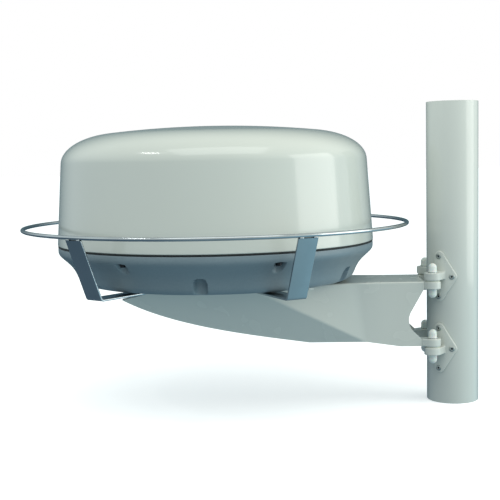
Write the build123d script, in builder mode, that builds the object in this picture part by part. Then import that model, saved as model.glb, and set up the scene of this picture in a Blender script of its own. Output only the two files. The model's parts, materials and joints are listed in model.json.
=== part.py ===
"""Marine radar dome on a hinged mast bracket, with its guard and a length of mast.

Units are millimetres and +Z is up. The origin is the centre of the mast section's lower
end. The bracket reaches out along -X. Heights and places on the bracket, guard and dome
are given from the dome axis at the top of the bracket's deck, through deck().
"""
import os
from math import acos, atan2, cos, degrees, hypot, pi, radians, sin

from build123d import *

os.makedirs("parts", exist_ok=True)

# Layout
DOME_X = -391.0            # dome axis, from the mast axis
DECK_Z = 203.0             # top face of the bracket's deck

# Mast section
MAST_R = 42.0
MAST_WALL = 3.0
MAST_LENGTH = 492.0

# Hinged mast feet
FOOT_CENTRES = {"upper": 209.4, "lower": 91.6}
FOOT_FLIP = {"upper": 1, "lower": -1}    # the lower foot is the same casting upside down
FOOT_PLATE = 3.4
FOOT_GAP = 0.1             # sealant film between a foot and the mast
FOOT_CORNER_R = 8.5
LUG_R = 13.6
LUG_THICK = 12.0
LUG_OFFSET = 1.8           # lug centre above the middle of its plate
BOLT_X = -39.0
BOLT_Y = 48.7
RIVETS = ((-37.5, 32.7), (-9.8, 0.0), (-37.5, -32.7))    # degrees round the mast, height
RIVET_R = 2.4
RIVET_HEAD_R = 4.75

# Hinge hardware
BOLT_R = 3.0
BOLT_HOLE_R = 3.2
SPACER = 1.9               # nylon washer between a lug and an ear
WASHER_THICK = 1.2
WASHER_R = 7.4
CAP_R = 7.2
CAP_HEIGHT = 13.8
CAP_WALL = 0.9

# Bracket, in folded aluminium sheet
SHEET = 4.0
DECK_HOLE_R = 28.0
DECK_HALF = 112.0          # half width of the deck
DECK_CORNER = 14.0         # corner cut at the nose
DECK_END_X = 160.0         # end of the deck towards the mast
ARM_HALF = 52.7            # half width of the arm
NOSE_X = -120.0
SHOULDER_X = 59.4          # where the sides start to close in on the arm
NECK_X = 203.0             # where they have reached it
SLOT_X = 170.0             # middle of the cable slot
SLOT_SIZE = (60.0, 36.0)
ARM_END_X = 338.0
KEEL_X = 244.0             # lower end of the fold between flank and arm
KEEL_DROP = 97.0
HEEL_DROP = 105.0          # depth of the arm at the mast
EAR_R = 13.3
EAR_THICK = 12.0
LOWER_EAR_TOP = -93.0

# Guard
GUARD_TURN = -3.35
LEG_SPREAD = 32.0
RING_R = 315.4
RING_H = 95.2
ROD_R = 3.0
BAR_THICK = 3.0
BAR_WIDTH = 32.0
FOOT_R = 278.0
HUB_R = 135.0

# Radome
RADOME_TURN = -1.4
RADOME_R = 260.0
WALL = 4.0
GASKET = 2.6
APEX_H = 257.0
SHOULDER_H = 200.0         # the wall's height, where it turns in to the crown
CROWN_R = 1600.0           # the crown is a shallow part of a sphere
CROWN_EDGE = 175.0
BASE_BOTTOM = 4.5
BASE_RIM_TOP = 65.4
CLAMP_AZIMUTHS = (-27.2, 27.2, 90.0, 152.8, 207.2, 270.0)
CLAMP_CIRCLE = 249.0
CLAMP_POCKET_R = 8.7
CLAMP_CEILING = 53.0
POCKET_AZIMUTHS = (0.0, 66.6, 113.4, 180.0, 246.6, 293.4)
POCKET_CIRCLE = 223.8
POCKET_R = 10.2
POCKET_DOME_H = 20.8       # centre of the pocket's round top
POCKET_WALL = 3.0
MOUNT_DX = 160.0           # radome fixing bolts, hole to hole
MOUNT_DY = 160.0
FIX_R = 4.0
FIX_WASHER = 1.6
FIX_HEAD = 5.3
GLAND_X = 140.0
GLAND_Y = 126.0
GLAND_BORE_R = 4.8

# Scanner drive
GEAR_MODULE = 1.5
GEAR_TEETH = 72
PINION_TEETH = 18
GEAR_FACE = 8.0
GEAR_H = 94.0
CHASSIS_H = 24.0
CHASSIS_THICK = 3.0
SPINDLE_R = 10.0
BEARING_R = 21.0
BEARING_WIDTH = 12.0
BALL_CIRCLE = 15.5
BALL_R = 2.6
ARRAY_LENGTH = 430.0

CHASSIS_TOP = CHASSIS_H + CHASSIS_THICK
FLOOR_H = BASE_BOTTOM + WALL
DRIVE_CENTRES = GEAR_MODULE * (GEAR_TEETH + PINION_TEETH) / 2
BEARING_HEIGHTS = (36.0, 74.0)
HOUSING_TOP = 88.0
SIDES = {"near": -1, "far": 1}


def deck(x, y, h):
    """A point given from the dome axis and the deck's top face, in the part's frame."""
    return Vector(DOME_X + x, y, DECK_Z + h)


def level(h, x=0.0, y=0.0):
    """A horizontal plane at height h over the deck, centred on the dome axis."""
    return Plane(origin=deck(x, y, h))


def radial(azimuth):
    """A vertical plane through the dome axis; azimuth 0 faces -Y and 90 faces the mast."""
    a = radians(azimuth)
    return Plane(origin=deck(0, 0, 0), x_dir=(sin(a), -cos(a), 0), z_dir=(-cos(a), -sin(a), 0))


def round_dome(azimuth, radius):
    """Local x and y of a point on a circle about the dome axis."""
    a = radians(azimuth)
    return radius * sin(a), -radius * cos(a)


DOME_AXIS = Axis(deck(0, 0, 0), (0, 0, 1))
PROFILE = radial(45.0)    # turned profiles start clear of every boss and pocket


# ---------------------------------------------------------------- mast and feet

def rivet_planes(level_name, side):
    """One plane for each rivet of a foot, on the mast's surface and facing outwards."""
    planes = []
    for angle, rise in RIVETS:
        a = radians(angle)
        out = Vector(sin(a), side * cos(a), 0)
        spot = out * MAST_R + Vector(0, 0, FOOT_CENTRES[level_name] + rise)
        planes.append(Plane(origin=spot, x_dir=(0, 0, 1), z_dir=out))
    return planes


ALL_RIVETS = [
    plane
    for level_name in FOOT_CENTRES
    for side in SIDES.values()
    for plane in rivet_planes(level_name, side)
]

with BuildPart() as mast:
    with BuildSketch(Plane.XY):
        Circle(MAST_R)
        Circle(MAST_R - MAST_WALL, mode=Mode.SUBTRACT)
    extrude(amount=MAST_LENGTH)
    for plane in ALL_RIVETS:
        with BuildSketch(plane.offset(-2 * MAST_WALL)):
            Circle(RIVET_R + 0.05)
        extrude(amount=3 * MAST_WALL, mode=Mode.SUBTRACT)
mast.part.label = "mast_section"
export_step(mast.part, "parts/mast_section.step")


def lug_bottom(level_name):
    """Underside of a foot's lug."""
    flip = FOOT_FLIP[level_name]
    return FOOT_CENTRES[level_name] + flip * LUG_OFFSET - LUG_THICK / 2


for level_name, centre in FOOT_CENTRES.items():
    for side_name, side in SIDES.items():
        middle = radians(-26.0)
        facing = Vector(sin(middle), side * cos(middle), 0)
        along = Vector(cos(middle), -side * sin(middle), 0)
        patch = Plane(origin=Vector(0, 0, centre), x_dir=along, z_dir=facing)
        tall = 60.0
        with BuildPart() as foot:
            with BuildSketch(Plane.XY.offset(centre - tall)):
                Circle(MAST_R + FOOT_GAP + FOOT_PLATE)
                Circle(MAST_R + FOOT_GAP, mode=Mode.SUBTRACT)
            extrude(amount=2 * tall)
            # the plate's outline wraps the three rivets
            with BuildSketch(patch):
                for angle, rise in RIVETS:
                    x = MAST_R * sin(radians(angle) - middle)
                    y = rise if patch.y_dir.Z > 0 else -rise
                    with Locations((x, y)):
                        Circle(FOOT_CORNER_R)
                make_hull()
            extrude(amount=2 * MAST_R, mode=Mode.INTERSECT)
            # the lug reaches from the plate to the hinge bolt
            with BuildSketch(Plane.XY.offset(lug_bottom(level_name))):
                with Locations((BOLT_X, side * BOLT_Y)):
                    Circle(LUG_R)
                with Locations((-19.5, side * 40.5), (-37.0, side * 24.0)):
                    Circle(2.0)
                make_hull()
                Circle(MAST_R + FOOT_GAP, mode=Mode.SUBTRACT)
            extrude(amount=LUG_THICK)
            with BuildSketch(Plane.XY.offset(lug_bottom(level_name) - 1)):
                with Locations((BOLT_X, side * BOLT_Y)):
                    Circle(BOLT_HOLE_R)
            extrude(amount=LUG_THICK + 2, mode=Mode.SUBTRACT)
            for plane in rivet_planes(level_name, side):
                with BuildSketch(plane.offset(-1)):
                    Circle(RIVET_R + 0.05)
                extrude(amount=3 * FOOT_PLATE, mode=Mode.SUBTRACT)
        foot.part.label = f"foot_{level_name}_{side_name}"
        export_step(foot.part, f"parts/foot_{level_name}_{side_name}.step")

# A blind rivet: a domed head with a hollow centre, a body through plate and mast, and the
# bulb that forms behind the mast wall.
with BuildPart() as rivets:
    for plane in ALL_RIVETS:
        seat = FOOT_GAP + FOOT_PLATE + 0.35
        with BuildSketch(plane.offset(-MAST_WALL - 1.0)):
            Circle(RIVET_R)
        extrude(amount=MAST_WALL + 1.0 + seat)
        with BuildSketch(plane.offset(-MAST_WALL - 3.4)):
            Circle(RIVET_R + 0.9)
        extrude(amount=3.0)
        with BuildSketch(plane.offset(seat)):
            Circle(RIVET_HEAD_R)
        extrude(amount=1.3, taper=32)
        with BuildSketch(plane.offset(seat - 0.6)):
            Circle(1.15)
        extrude(amount=3.0, mode=Mode.SUBTRACT)
rivets.part.label = "foot_rivets"
export_step(rivets.part, "parts/foot_rivets.step")


# ---------------------------------------------------------------- bracket

# the deck runs out past the sides and ends in a small cut corner, level with DECK_END_X
NARROWING = (DECK_HALF - ARM_HALF) / (NECK_X - SHOULDER_X)
MIRROR_OUTLINE = (
    (NOSE_X, DECK_CORNER - DECK_HALF),
    (NOSE_X + DECK_CORNER, -DECK_HALF),
    (DECK_END_X - DECK_CORNER / 2, -DECK_HALF),
    (DECK_END_X, DECK_CORNER / 2 - DECK_HALF),
    (DECK_END_X, (DECK_END_X - SHOULDER_X) * NARROWING - DECK_HALF),
    (NECK_X, -ARM_HALF),
    (ARM_END_X, -ARM_HALF),
)
FIX_SPOTS = [(x * MOUNT_DX / 2, y * MOUNT_DY / 2) for x in (-1, 1) for y in (-1, 1)]

with BuildPart() as bracket_top:
    with BuildSketch(level(-SHEET)):
        with BuildLine():
            Polyline(*MIRROR_OUTLINE, *[(x, -y) for x, y in reversed(MIRROR_OUTLINE)], close=True)
        make_face()
        with Locations(*FIX_SPOTS):
            Circle(FIX_R + 0.5, mode=Mode.SUBTRACT)
        # the cable drops through the slot, and the middle hole clears the bearing stack
        Circle(DECK_HOLE_R, mode=Mode.SUBTRACT)
        with Locations((SLOT_X, 0)):
            SlotOverall(*SLOT_SIZE, mode=Mode.SUBTRACT)
    extrude(amount=SHEET)
bracket_top.part.label = "bracket_top_plate"
export_step(bracket_top.part, "parts/bracket_top_plate.step")

# The near side of the bracket folds down from the deck's edge in three flats: a leaning
# facet under the deck, a flank under the narrowing part and the upright side of the arm.
lean = atan2(KEEL_DROP, DECK_HALF - ARM_HALF)
slant = hypot(KEEL_DROP, DECK_HALF - ARM_HALF)
facet_plane = Plane(
    origin=deck(0, -DECK_HALF, 0), x_dir=(1, 0, 0), z_dir=(0, sin(lean), cos(lean))
)
shoulder = deck(SHOULDER_X, -DECK_HALF, 0)
neck = deck(NECK_X, -ARM_HALF, 0)
keel = deck(KEEL_X, -ARM_HALF, -KEEL_DROP)
flank_normal = (keel - shoulder).cross(neck - shoulder)
flank_plane = Plane(origin=shoulder, x_dir=neck - shoulder, z_dir=flank_normal)
if flank_plane.z_dir.Y < 0:
    flank_plane = Plane(origin=shoulder, x_dir=neck - shoulder, z_dir=-flank_normal)
arm_plane = Plane(origin=deck(0, -ARM_HALF, 0), x_dir=(1, 0, 0), z_dir=(0, -1, 0))

with BuildPart() as side_near:
    with BuildSketch(facet_plane):
        with BuildLine():
            Polyline((153, slant), (KEEL_X, slant), (SHOULDER_X, 0), (-74, 0), (-143, 20))
            Bezier((-143, 20), (-64.5, 76.8), (59.3, 96.5), (153, slant))
        make_face()
    extrude(amount=SHEET)
    with BuildSketch(flank_plane):
        with BuildLine():
            Polyline(
                *[flank_plane.to_local_coords(p) for p in (shoulder, neck, keel)], close=True
            )
        make_face()
    extrude(amount=SHEET)
    with BuildSketch(arm_plane):
        with BuildLine():
            Polyline(
                (316.5, -50),
                (ARM_END_X, -EAR_THICK),
                (ARM_END_X, 0),
                (NECK_X - SHEET, 0),
                (KEEL_X - SHEET, -KEEL_DROP),
                (KEEL_X, -KEEL_DROP),
                (334, -HEEL_DROP),
                (334, LOWER_EAR_TOP),
                (320, -80),
            )
            ThreePointArc((320, -80), (313.8, -65), (316.5, -50))
        make_face()
    extrude(amount=-SHEET)
    split(bisect_by=Plane.XY.offset(DECK_Z - SHEET), keep=Keep.BOTTOM)
side_near.part.label = "bracket_side_near"
export_step(side_near.part, "parts/bracket_side_near.step")

with BuildPart() as side_far:
    mirror(side_near.part, about=Plane.XZ)
side_far.part.label = "bracket_side_far"
export_step(side_far.part, "parts/bracket_side_far.step")

# Ears: solid blocks welded inside the arm's end, with a round nose about the hinge bolt.
BOLT_DECK_X = BOLT_X - DOME_X
for level_name, top, arm_end in (("upper", 0.0, ARM_END_X), ("lower", LOWER_EAR_TOP, 334.0)):
    for side_name, side in SIDES.items():
        with BuildPart() as ear:
            with BuildSketch(level(top - EAR_THICK)):
                with Locations((BOLT_DECK_X, side * BOLT_Y)):
                    Circle(EAR_R)
                with BuildLine():
                    Line((arm_end, side * ARM_HALF), (arm_end, side * 32.0))
                make_hull()
            extrude(amount=EAR_THICK)
            tail_top = min(top, -SHEET)
            with BuildSketch(level(top - EAR_THICK)):
                with Locations(((arm_end + 300) / 2, side * (ARM_HALF - SHEET + 32) / 2)):
                    Rectangle(arm_end - 300, ARM_HALF - SHEET - 32)
            extrude(amount=tail_top - top + EAR_THICK)
            with BuildSketch(level(top - EAR_THICK - 1)):
                with Locations((BOLT_DECK_X, side * BOLT_Y)):
                    Circle(BOLT_HOLE_R)
            extrude(amount=EAR_THICK + 2, mode=Mode.SUBTRACT)
        ear.part.label = f"bracket_ear_{level_name}_{side_name}"
        export_step(ear.part, f"parts/bracket_ear_{level_name}_{side_name}.step")

# Hinge hardware. Each stack lists the underside of the lower member and the top of the
# upper member that the bolt draws together.
UPPER_STACK = (DECK_Z - EAR_THICK, lug_bottom("upper") + LUG_THICK)
LOWER_STACK = (lug_bottom("lower"), DECK_Z + LOWER_EAR_TOP)
HINGES = [(side, *stack) for side in SIDES.values() for stack in (UPPER_STACK, LOWER_STACK)]
GAPS = [
    (DECK_Z, lug_bottom("upper")),
    (lug_bottom("lower") + LUG_THICK, DECK_Z + LOWER_EAR_TOP - EAR_THICK),
]

with BuildPart() as hinge_spacers:
    for side in SIDES.values():
        for low, high in GAPS:
            with BuildSketch(Plane.XY.offset(low)):
                with Locations((BOLT_X, side * BOLT_Y)):
                    Circle(LUG_R - 2.0)
                    Circle(BOLT_R + 0.1, mode=Mode.SUBTRACT)
            extrude(amount=high - low)
hinge_spacers.part.label = "hinge_spacers"
export_step(hinge_spacers.part, "parts/hinge_spacers.step")

with BuildPart() as hinge_bolts:
    for side, low, high in HINGES:
        with BuildSketch(Plane.XY.offset(low - WASHER_THICK - 8.0)):
            with Locations((BOLT_X, side * BOLT_Y)):
                Circle(BOLT_R)
        extrude(amount=high - low + 2 * WASHER_THICK + 8.1)
        with BuildSketch(Plane.XY.offset(high + WASHER_THICK)):
            with Locations((BOLT_X, side * BOLT_Y)):
                Circle(5.0)
        extrude(amount=5.0)
        with BuildSketch(Plane.XY.offset(high + WASHER_THICK + 2.0)):
            with Locations((BOLT_X, side * BOLT_Y)):
                RegularPolygon(2.5, 6)
        extrude(amount=4.0, mode=Mode.SUBTRACT)
hinge_bolts.part.label = "hinge_bolts"
export_step(hinge_bolts.part, "parts/hinge_bolts.step")

with BuildPart() as hinge_nuts:
    for side, low, high in HINGES:
        with BuildSketch(Plane.XY.offset(low - WASHER_THICK - 5.0)):
            with Locations((BOLT_X, side * BOLT_Y)):
                RegularPolygon(5.7, 6)
                Circle(BOLT_R + 0.02, mode=Mode.SUBTRACT)
        extrude(amount=5.0)
hinge_nuts.part.label = "hinge_nuts"
export_step(hinge_nuts.part, "parts/hinge_nuts.step")


def cap_profile(direction):
    """Half section of a domed cap that stands on its washer, upwards or downwards."""
    round_r = CAP_R - 0.4
    shoulder_h = CAP_HEIGHT - round_r
    inner = round_r - CAP_WALL
    with BuildSketch() as half:
        with BuildLine():
            Polyline((inner + 0.2, 0), (CAP_R, 0), (round_r, direction * shoulder_h))
            ThreePointArc(
                (round_r, direction * shoulder_h),
                (round_r * cos(pi / 4), direction * (shoulder_h + round_r * sin(pi / 4))),
                (0, direction * CAP_HEIGHT),
            )
            Line((0, direction * CAP_HEIGHT), (0, direction * (CAP_HEIGHT - CAP_WALL)))
            ThreePointArc(
                (0, direction * (CAP_HEIGHT - CAP_WALL)),
                (inner * cos(pi / 4), direction * (shoulder_h + inner * sin(pi / 4))),
                (inner, direction * shoulder_h),
            )
            Line((inner, direction * shoulder_h), (inner + 0.2, 0))
        make_face()
    return half.sketch


with BuildPart() as bolt_caps:
    for side, low, high in HINGES:
        for start, direction in ((low - WASHER_THICK, -1), (high + WASHER_THICK, 1)):
            foot_point = Vector(BOLT_X, side * BOLT_Y, start)
            with BuildSketch(Plane(origin=foot_point, x_dir=(1, 0, 0), z_dir=(0, -1, 0))):
                add(cap_profile(direction))
            revolve(axis=Axis(foot_point, (0, 0, 1)))
bolt_caps.part.label = "bolt_caps"
export_step(bolt_caps.part, "parts/bolt_caps.step")


# ---------------------------------------------------------------- guard

LEGS = {
    "near_left": -LEG_SPREAD + GUARD_TURN,
    "near_right": LEG_SPREAD + GUARD_TURN,
    "far_right": 180 - LEG_SPREAD + GUARD_TURN,
    "far_left": 180 + LEG_SPREAD + GUARD_TURN,
}

with BuildPart() as guard_ring:
    with BuildSketch(PROFILE):
        with Locations((RING_R, RING_H)):
            Circle(ROD_R)
    revolve(axis=DOME_AXIS)
guard_ring.part.label = "guard_ring"
export_step(guard_ring.part, "parts/guard_ring.step")

with BuildPart() as guard_legs:
    for azimuth in LEGS.values():
        with BuildSketch(radial(azimuth)):
            with BuildLine():
                FilletPolyline(
                    (HUB_R - 12, BAR_THICK / 2),
                    (FOOT_R, BAR_THICK / 2),
                    (RING_R - 0.3, RING_H - ROD_R - 0.5),
                    radius=5.0,
                )
            trace(line_width=BAR_THICK)
        extrude(amount=BAR_WIDTH / 2, both=True)
    # each leg ends on the hub plate's round edge
    with BuildSketch(level(-1)):
        Circle(HUB_R + 0.05)
    extrude(amount=BAR_THICK + 2, mode=Mode.SUBTRACT)
for name, azimuth in LEGS.items():
    side_x, side_y = round_dome(azimuth, 1.0)
    outward = Vector(side_x, side_y)
    with BuildPart() as one_leg:
        add(max(guard_legs.solids(), key=lambda s: (s.center() - deck(0, 0, 0)).dot(outward)))
    one_leg.part.label = f"guard_leg_{name}"
    export_step(one_leg.part, f"parts/guard_leg_{name}.step")

with BuildPart() as guard_hub:
    with BuildSketch(level(0)):
        Circle(HUB_R)
        Circle(DECK_HOLE_R, mode=Mode.SUBTRACT)
        with Locations(*FIX_SPOTS):
            Circle(FIX_R + 0.5, mode=Mode.SUBTRACT)
    extrude(amount=BAR_THICK)
guard_hub.part.label = "guard_hub_plate"
export_step(guard_hub.part, "parts/guard_hub_plate.step")

# two short fillets of weld on each leg, under the rod, one on each face of the bar
with BuildPart() as guard_welds:
    for azimuth in LEGS.values():
        for across in (-11.0, 11.0):
            for out in (-2.2, 2.2):
                with BuildSketch(radial(azimuth).offset(across)):
                    with Locations((RING_R + out - 0.6, RING_H - ROD_R - 0.2)):
                        Circle(1.6)
                extrude(amount=3.2, both=True)
    add(guard_ring.part, mode=Mode.SUBTRACT)
    add(guard_legs.part, mode=Mode.SUBTRACT)
guard_welds.part.label = "guard_weld_beads"
export_step(guard_welds.part, "parts/guard_weld_beads.step")


# ---------------------------------------------------------------- radome shell

CLAMP_SPOTS = [round_dome(a + RADOME_TURN, CLAMP_CIRCLE) for a in CLAMP_AZIMUTHS]
POCKET_SPOTS = [round_dome(a + RADOME_TURN, POCKET_CIRCLE) for a in POCKET_AZIMUTHS]


def base_outline(inset=0.0):
    """Half section of the lower pan, filled; a positive inset gives its hollow."""
    top = BASE_RIM_TOP + (1.0 if inset else 0.0)
    with BuildSketch() as half:
        with BuildLine():
            Polyline(
                (208 - inset, BASE_BOTTOM + inset),
                (0, BASE_BOTTOM + inset),
                (0, top),
                (RADOME_R - 0.5 - inset, top),
                (RADOME_R - 0.5 - inset, 54 + inset / 2),
            )
            Bezier(
                (RADOME_R - 0.5 - inset, 54 + inset / 2),
                (243 - inset, 39 + inset / 2),
                (236 - inset, 34 + inset / 2),
                (229.5 - inset, 17 + inset / 2),
            )
            Bezier(
                (229.5 - inset, 17 + inset / 2),
                (226.5 - inset, 9.2 + inset / 2),
                (221 - inset, BASE_BOTTOM + inset),
                (208 - inset, BASE_BOTTOM + inset),
            )
        make_face()
    return half.sketch


with BuildPart() as pan_block:
    with BuildSketch(PROFILE):
        add(base_outline())
    revolve(axis=DOME_AXIS)

with BuildPart() as pan_hollow:
    with BuildSketch(PROFILE):
        add(base_outline(inset=WALL))
    revolve(axis=DOME_AXIS)
    # the walls round the pockets are left standing in the hollow
    with BuildSketch(level(0)):
        with Locations(*CLAMP_SPOTS):
            Circle(CLAMP_POCKET_R + POCKET_WALL)
    extrude(amount=BASE_RIM_TOP + 2, mode=Mode.SUBTRACT)
    with BuildSketch(level(0)):
        with Locations(*POCKET_SPOTS):
            Circle(POCKET_R + POCKET_WALL)
    extrude(amount=POCKET_DOME_H + POCKET_R + POCKET_WALL, mode=Mode.SUBTRACT)

with BuildPart() as radome_base:
    add(pan_block.part)
    add(pan_hollow.part, mode=Mode.SUBTRACT)
    # a flange stiffens the rim and carries the gasket
    with BuildSketch(level(BASE_RIM_TOP - 5)):
        Circle(RADOME_R - 1)
        Circle(RADOME_R - 14, mode=Mode.SUBTRACT)
    extrude(amount=5)
    # four pads under the pan stand on the hub plate
    with BuildSketch(level(BAR_THICK)):
        with Locations(*FIX_SPOTS):
            Circle(15.0)
    extrude(amount=FLOOR_H + 8 - BAR_THICK)
    with BuildSketch(level(BASE_BOTTOM - 2)):
        with Locations(*POCKET_SPOTS):
            Circle(POCKET_R)
    extrude(amount=POCKET_DOME_H - BASE_BOTTOM + 2, mode=Mode.SUBTRACT)
    with Locations(*[deck(x, y, POCKET_DOME_H) for x, y in POCKET_SPOTS]):
        Sphere(POCKET_R, mode=Mode.SUBTRACT)
    with BuildSketch(level(BASE_BOTTOM - 2)):
        with Locations(*CLAMP_SPOTS):
            Circle(CLAMP_POCKET_R)
    extrude(amount=CLAMP_CEILING - BASE_BOTTOM + 2, mode=Mode.SUBTRACT)
    with BuildSketch(level(BASE_BOTTOM)):
        with Locations(*CLAMP_SPOTS):
            Circle(2.8)
        with Locations((GLAND_X, GLAND_Y)):
            Circle(8.2)
    extrude(amount=BASE_RIM_TOP, mode=Mode.SUBTRACT)
    # blind holes for the fixing inserts
    with BuildSketch(level(BAR_THICK - 1)):
        with Locations(*FIX_SPOTS):
            Circle(6.0)
    extrude(amount=11.0, mode=Mode.SUBTRACT)
radome_base.part.label = "radome_base"
export_step(radome_base.part, "parts/radome_base.step")

with BuildPart() as base_inserts:
    with BuildSketch(level(BAR_THICK)):
        with Locations(*FIX_SPOTS):
            Circle(5.98)
            Circle(FIX_R + 0.02, mode=Mode.SUBTRACT)
    extrude(amount=9.8)
base_inserts.part.label = "base_inserts"
export_step(base_inserts.part, "parts/base_inserts.step")

with BuildPart() as washers:
    for side, low, high in HINGES:
        for bottom in (low - WASHER_THICK, high):
            with BuildSketch(Plane.XY.offset(bottom)):
                with Locations((BOLT_X, side * BOLT_Y)):
                    Circle(WASHER_R)
                    Circle(BOLT_R + 0.2, mode=Mode.SUBTRACT)
            extrude(amount=WASHER_THICK)
    with BuildSketch(level(-SHEET - FIX_WASHER)):
        with Locations(*FIX_SPOTS):
            Circle(8.0)
            Circle(FIX_R + 0.2, mode=Mode.SUBTRACT)
    extrude(amount=FIX_WASHER)
washers.part.label = "washers"
export_step(washers.part, "parts/washers.step")

with BuildPart() as fixing_bolts:
    with BuildSketch(level(-SHEET - FIX_WASHER - FIX_HEAD)):
        with Locations(*FIX_SPOTS):
            RegularPolygon(6.5, 6, major_radius=False)
    extrude(amount=FIX_HEAD)
    with BuildSketch(level(-SHEET - FIX_WASHER - 0.1)):
        with Locations(*FIX_SPOTS):
            Circle(FIX_R)
    extrude(amount=SHEET + FIX_WASHER + 0.1 + BAR_THICK + 9.0)
fixing_bolts.part.label = "fixing_bolts"
export_step(fixing_bolts.part, "parts/fixing_bolts.step")

with BuildPart() as gasket:
    with BuildSketch(level(BASE_RIM_TOP)):
        Circle(RADOME_R - 0.3)
        Circle(RADOME_R - 6.5, mode=Mode.SUBTRACT)
        with Locations(*CLAMP_SPOTS):
            Circle(CLAMP_POCKET_R, mode=Mode.SUBTRACT)
    extrude(amount=GASKET)
gasket.part.label = "radome_gasket"
export_step(gasket.part, "parts/radome_gasket.step")

COVER_H = BASE_RIM_TOP + GASKET + 0.2


def cover_outline(inset=0.0):
    """Half section of the domed cover, filled; a positive inset gives its hollow."""
    low = COVER_H - (1.0 if inset else 0.0)
    radius = CROWN_R - inset
    edge_r = CROWN_EDGE - inset
    edge_angle = degrees(acos(edge_r / radius))
    edge_h = APEX_H - CROWN_R + radius * sin(radians(edge_angle))
    with BuildSketch() as half:
        with BuildLine():
            Polyline(
                (0, APEX_H - inset), (0, low), (RADOME_R - inset, low), (251 - inset, SHOULDER_H)
            )
            Bezier(
                (251 - inset, SHOULDER_H),
                (249.3 - inset, 225 - inset / 2),
                (215 - inset, 243 - inset),
                (edge_r, edge_h),
            )
            CenterArc((0, APEX_H - CROWN_R), radius, edge_angle, 90 - edge_angle)
        make_face()
    return half.sketch


# the hollow is cut round six bosses that stand against the wall
with BuildPart() as cover_hollow:
    with BuildSketch(PROFILE):
        add(cover_outline(inset=WALL))
    revolve(axis=DOME_AXIS)
    with BuildSketch(level(COVER_H - 2)):
        with Locations(*CLAMP_SPOTS):
            Circle(8.2)
    extrude(amount=24.0, mode=Mode.SUBTRACT)

with BuildPart() as radome_cover:
    with BuildSketch(PROFILE):
        add(cover_outline())
    revolve(axis=DOME_AXIS)
    fillet(radome_cover.edges().filter_by(GeomType.CIRCLE).group_by(Axis.Z)[0], radius=1.2)
    add(cover_hollow.part, mode=Mode.SUBTRACT)
    with BuildSketch(level(COVER_H - 1)):
        with Locations(*CLAMP_SPOTS):
            Circle(3.9)
    extrude(amount=19.0, mode=Mode.SUBTRACT)
radome_cover.part.label = "radome_cover"
export_step(radome_cover.part, "parts/radome_cover.step")

with BuildPart() as cover_inserts:
    with BuildSketch(level(COVER_H + 0.1)):
        with Locations(*CLAMP_SPOTS):
            Circle(3.88)
            Circle(2.55, mode=Mode.SUBTRACT)
    extrude(amount=15.0)
cover_inserts.part.label = "cover_inserts"
export_step(cover_inserts.part, "parts/cover_inserts.step")

with BuildPart() as clamp_screws:
    with BuildSketch(level(CLAMP_CEILING - 5.0)):
        with Locations(*CLAMP_SPOTS):
            Circle(4.5)
    extrude(amount=5.0)
    with BuildSketch(level(CLAMP_CEILING - 0.1)):
        with Locations(*CLAMP_SPOTS):
            Circle(2.5)
    extrude(amount=COVER_H + 13.0 - CLAMP_CEILING)
    with BuildSketch(level(CLAMP_CEILING - 6.0)):
        with Locations(*CLAMP_SPOTS):
            RegularPolygon(2.3, 6)
    extrude(amount=3.6, mode=Mode.SUBTRACT)
clamp_screws.part.label = "clamp_screws"
export_step(clamp_screws.part, "parts/clamp_screws.step")

# Cable gland through the pan's floor, beside the bracket's arm
with BuildPart() as gland_body:
    with BuildSketch(level(BASE_BOTTOM - 16.0, GLAND_X, GLAND_Y)):
        Circle(8.0)
    extrude(amount=16.0 + WALL + 8.0)
    with BuildSketch(level(BASE_BOTTOM - 5.0, GLAND_X, GLAND_Y)):
        RegularPolygon(12.0, 6)
    extrude(amount=5.0)
    with BuildSketch(level(BASE_BOTTOM - 16.0, GLAND_X, GLAND_Y)):
        Circle(GLAND_BORE_R)
    extrude(amount=16.0 + WALL + 8.0, mode=Mode.SUBTRACT)
gland_body.part.label = "cable_gland"
export_step(gland_body.part, "parts/cable_gland.step")

with BuildPart() as gland_nut:
    with BuildSketch(level(BASE_BOTTOM - 16.0, GLAND_X, GLAND_Y)):
        RegularPolygon(11.0, 6)
        Circle(8.02, mode=Mode.SUBTRACT)
    extrude(amount=10.5)
    chamfer(gland_nut.edges().group_by(Axis.Z)[0].filter_by(GeomType.LINE), length=1.2)
gland_nut.part.label = "gland_cap_nut"
export_step(gland_nut.part, "parts/gland_cap_nut.step")

with BuildPart() as gland_lock_nut:
    with BuildSketch(level(FLOOR_H, GLAND_X, GLAND_Y)):
        RegularPolygon(12.0, 6)
        Circle(8.02, mode=Mode.SUBTRACT)
    extrude(amount=5.0)
gland_lock_nut.part.label = "gland_lock_nut"
export_step(gland_lock_nut.part, "parts/gland_lock_nut.step")


# ---------------------------------------------------------------- chassis and electronics

PILLAR_SPOTS = [(x * 112.0, y * 82.0) for x in (-1, 1) for y in (-1, 1)]
BOARD_X = 146.0
BOARD_SPOTS = [(BOARD_X + x * 30.0, y * 66.0) for x in (-1, 1) for y in (-1, 1)]
BOARD_H = CHASSIS_TOP + 9.0

with BuildPart() as standoffs:
    with BuildSketch(level(FLOOR_H)):
        with Locations(*PILLAR_SPOTS):
            RegularPolygon(7.0, 6)
    extrude(amount=CHASSIS_H - FLOOR_H)
    with BuildSketch(level(CHASSIS_TOP)):
        with Locations(*BOARD_SPOTS):
            RegularPolygon(3.4, 6)
    extrude(amount=BOARD_H - CHASSIS_TOP)
standoffs.part.label = "standoffs"
export_step(standoffs.part, "parts/standoffs.step")

with BuildPart() as chassis:
    with BuildSketch(level(CHASSIS_H)):
        RectangleRounded(370, 210, 24)
        with Locations(*PILLAR_SPOTS):
            Circle(2.2, mode=Mode.SUBTRACT)
        Circle(12.5, mode=Mode.SUBTRACT)
    extrude(amount=CHASSIS_THICK)
chassis.part.label = "chassis_plate"
export_step(chassis.part, "parts/chassis_plate.step")

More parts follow.
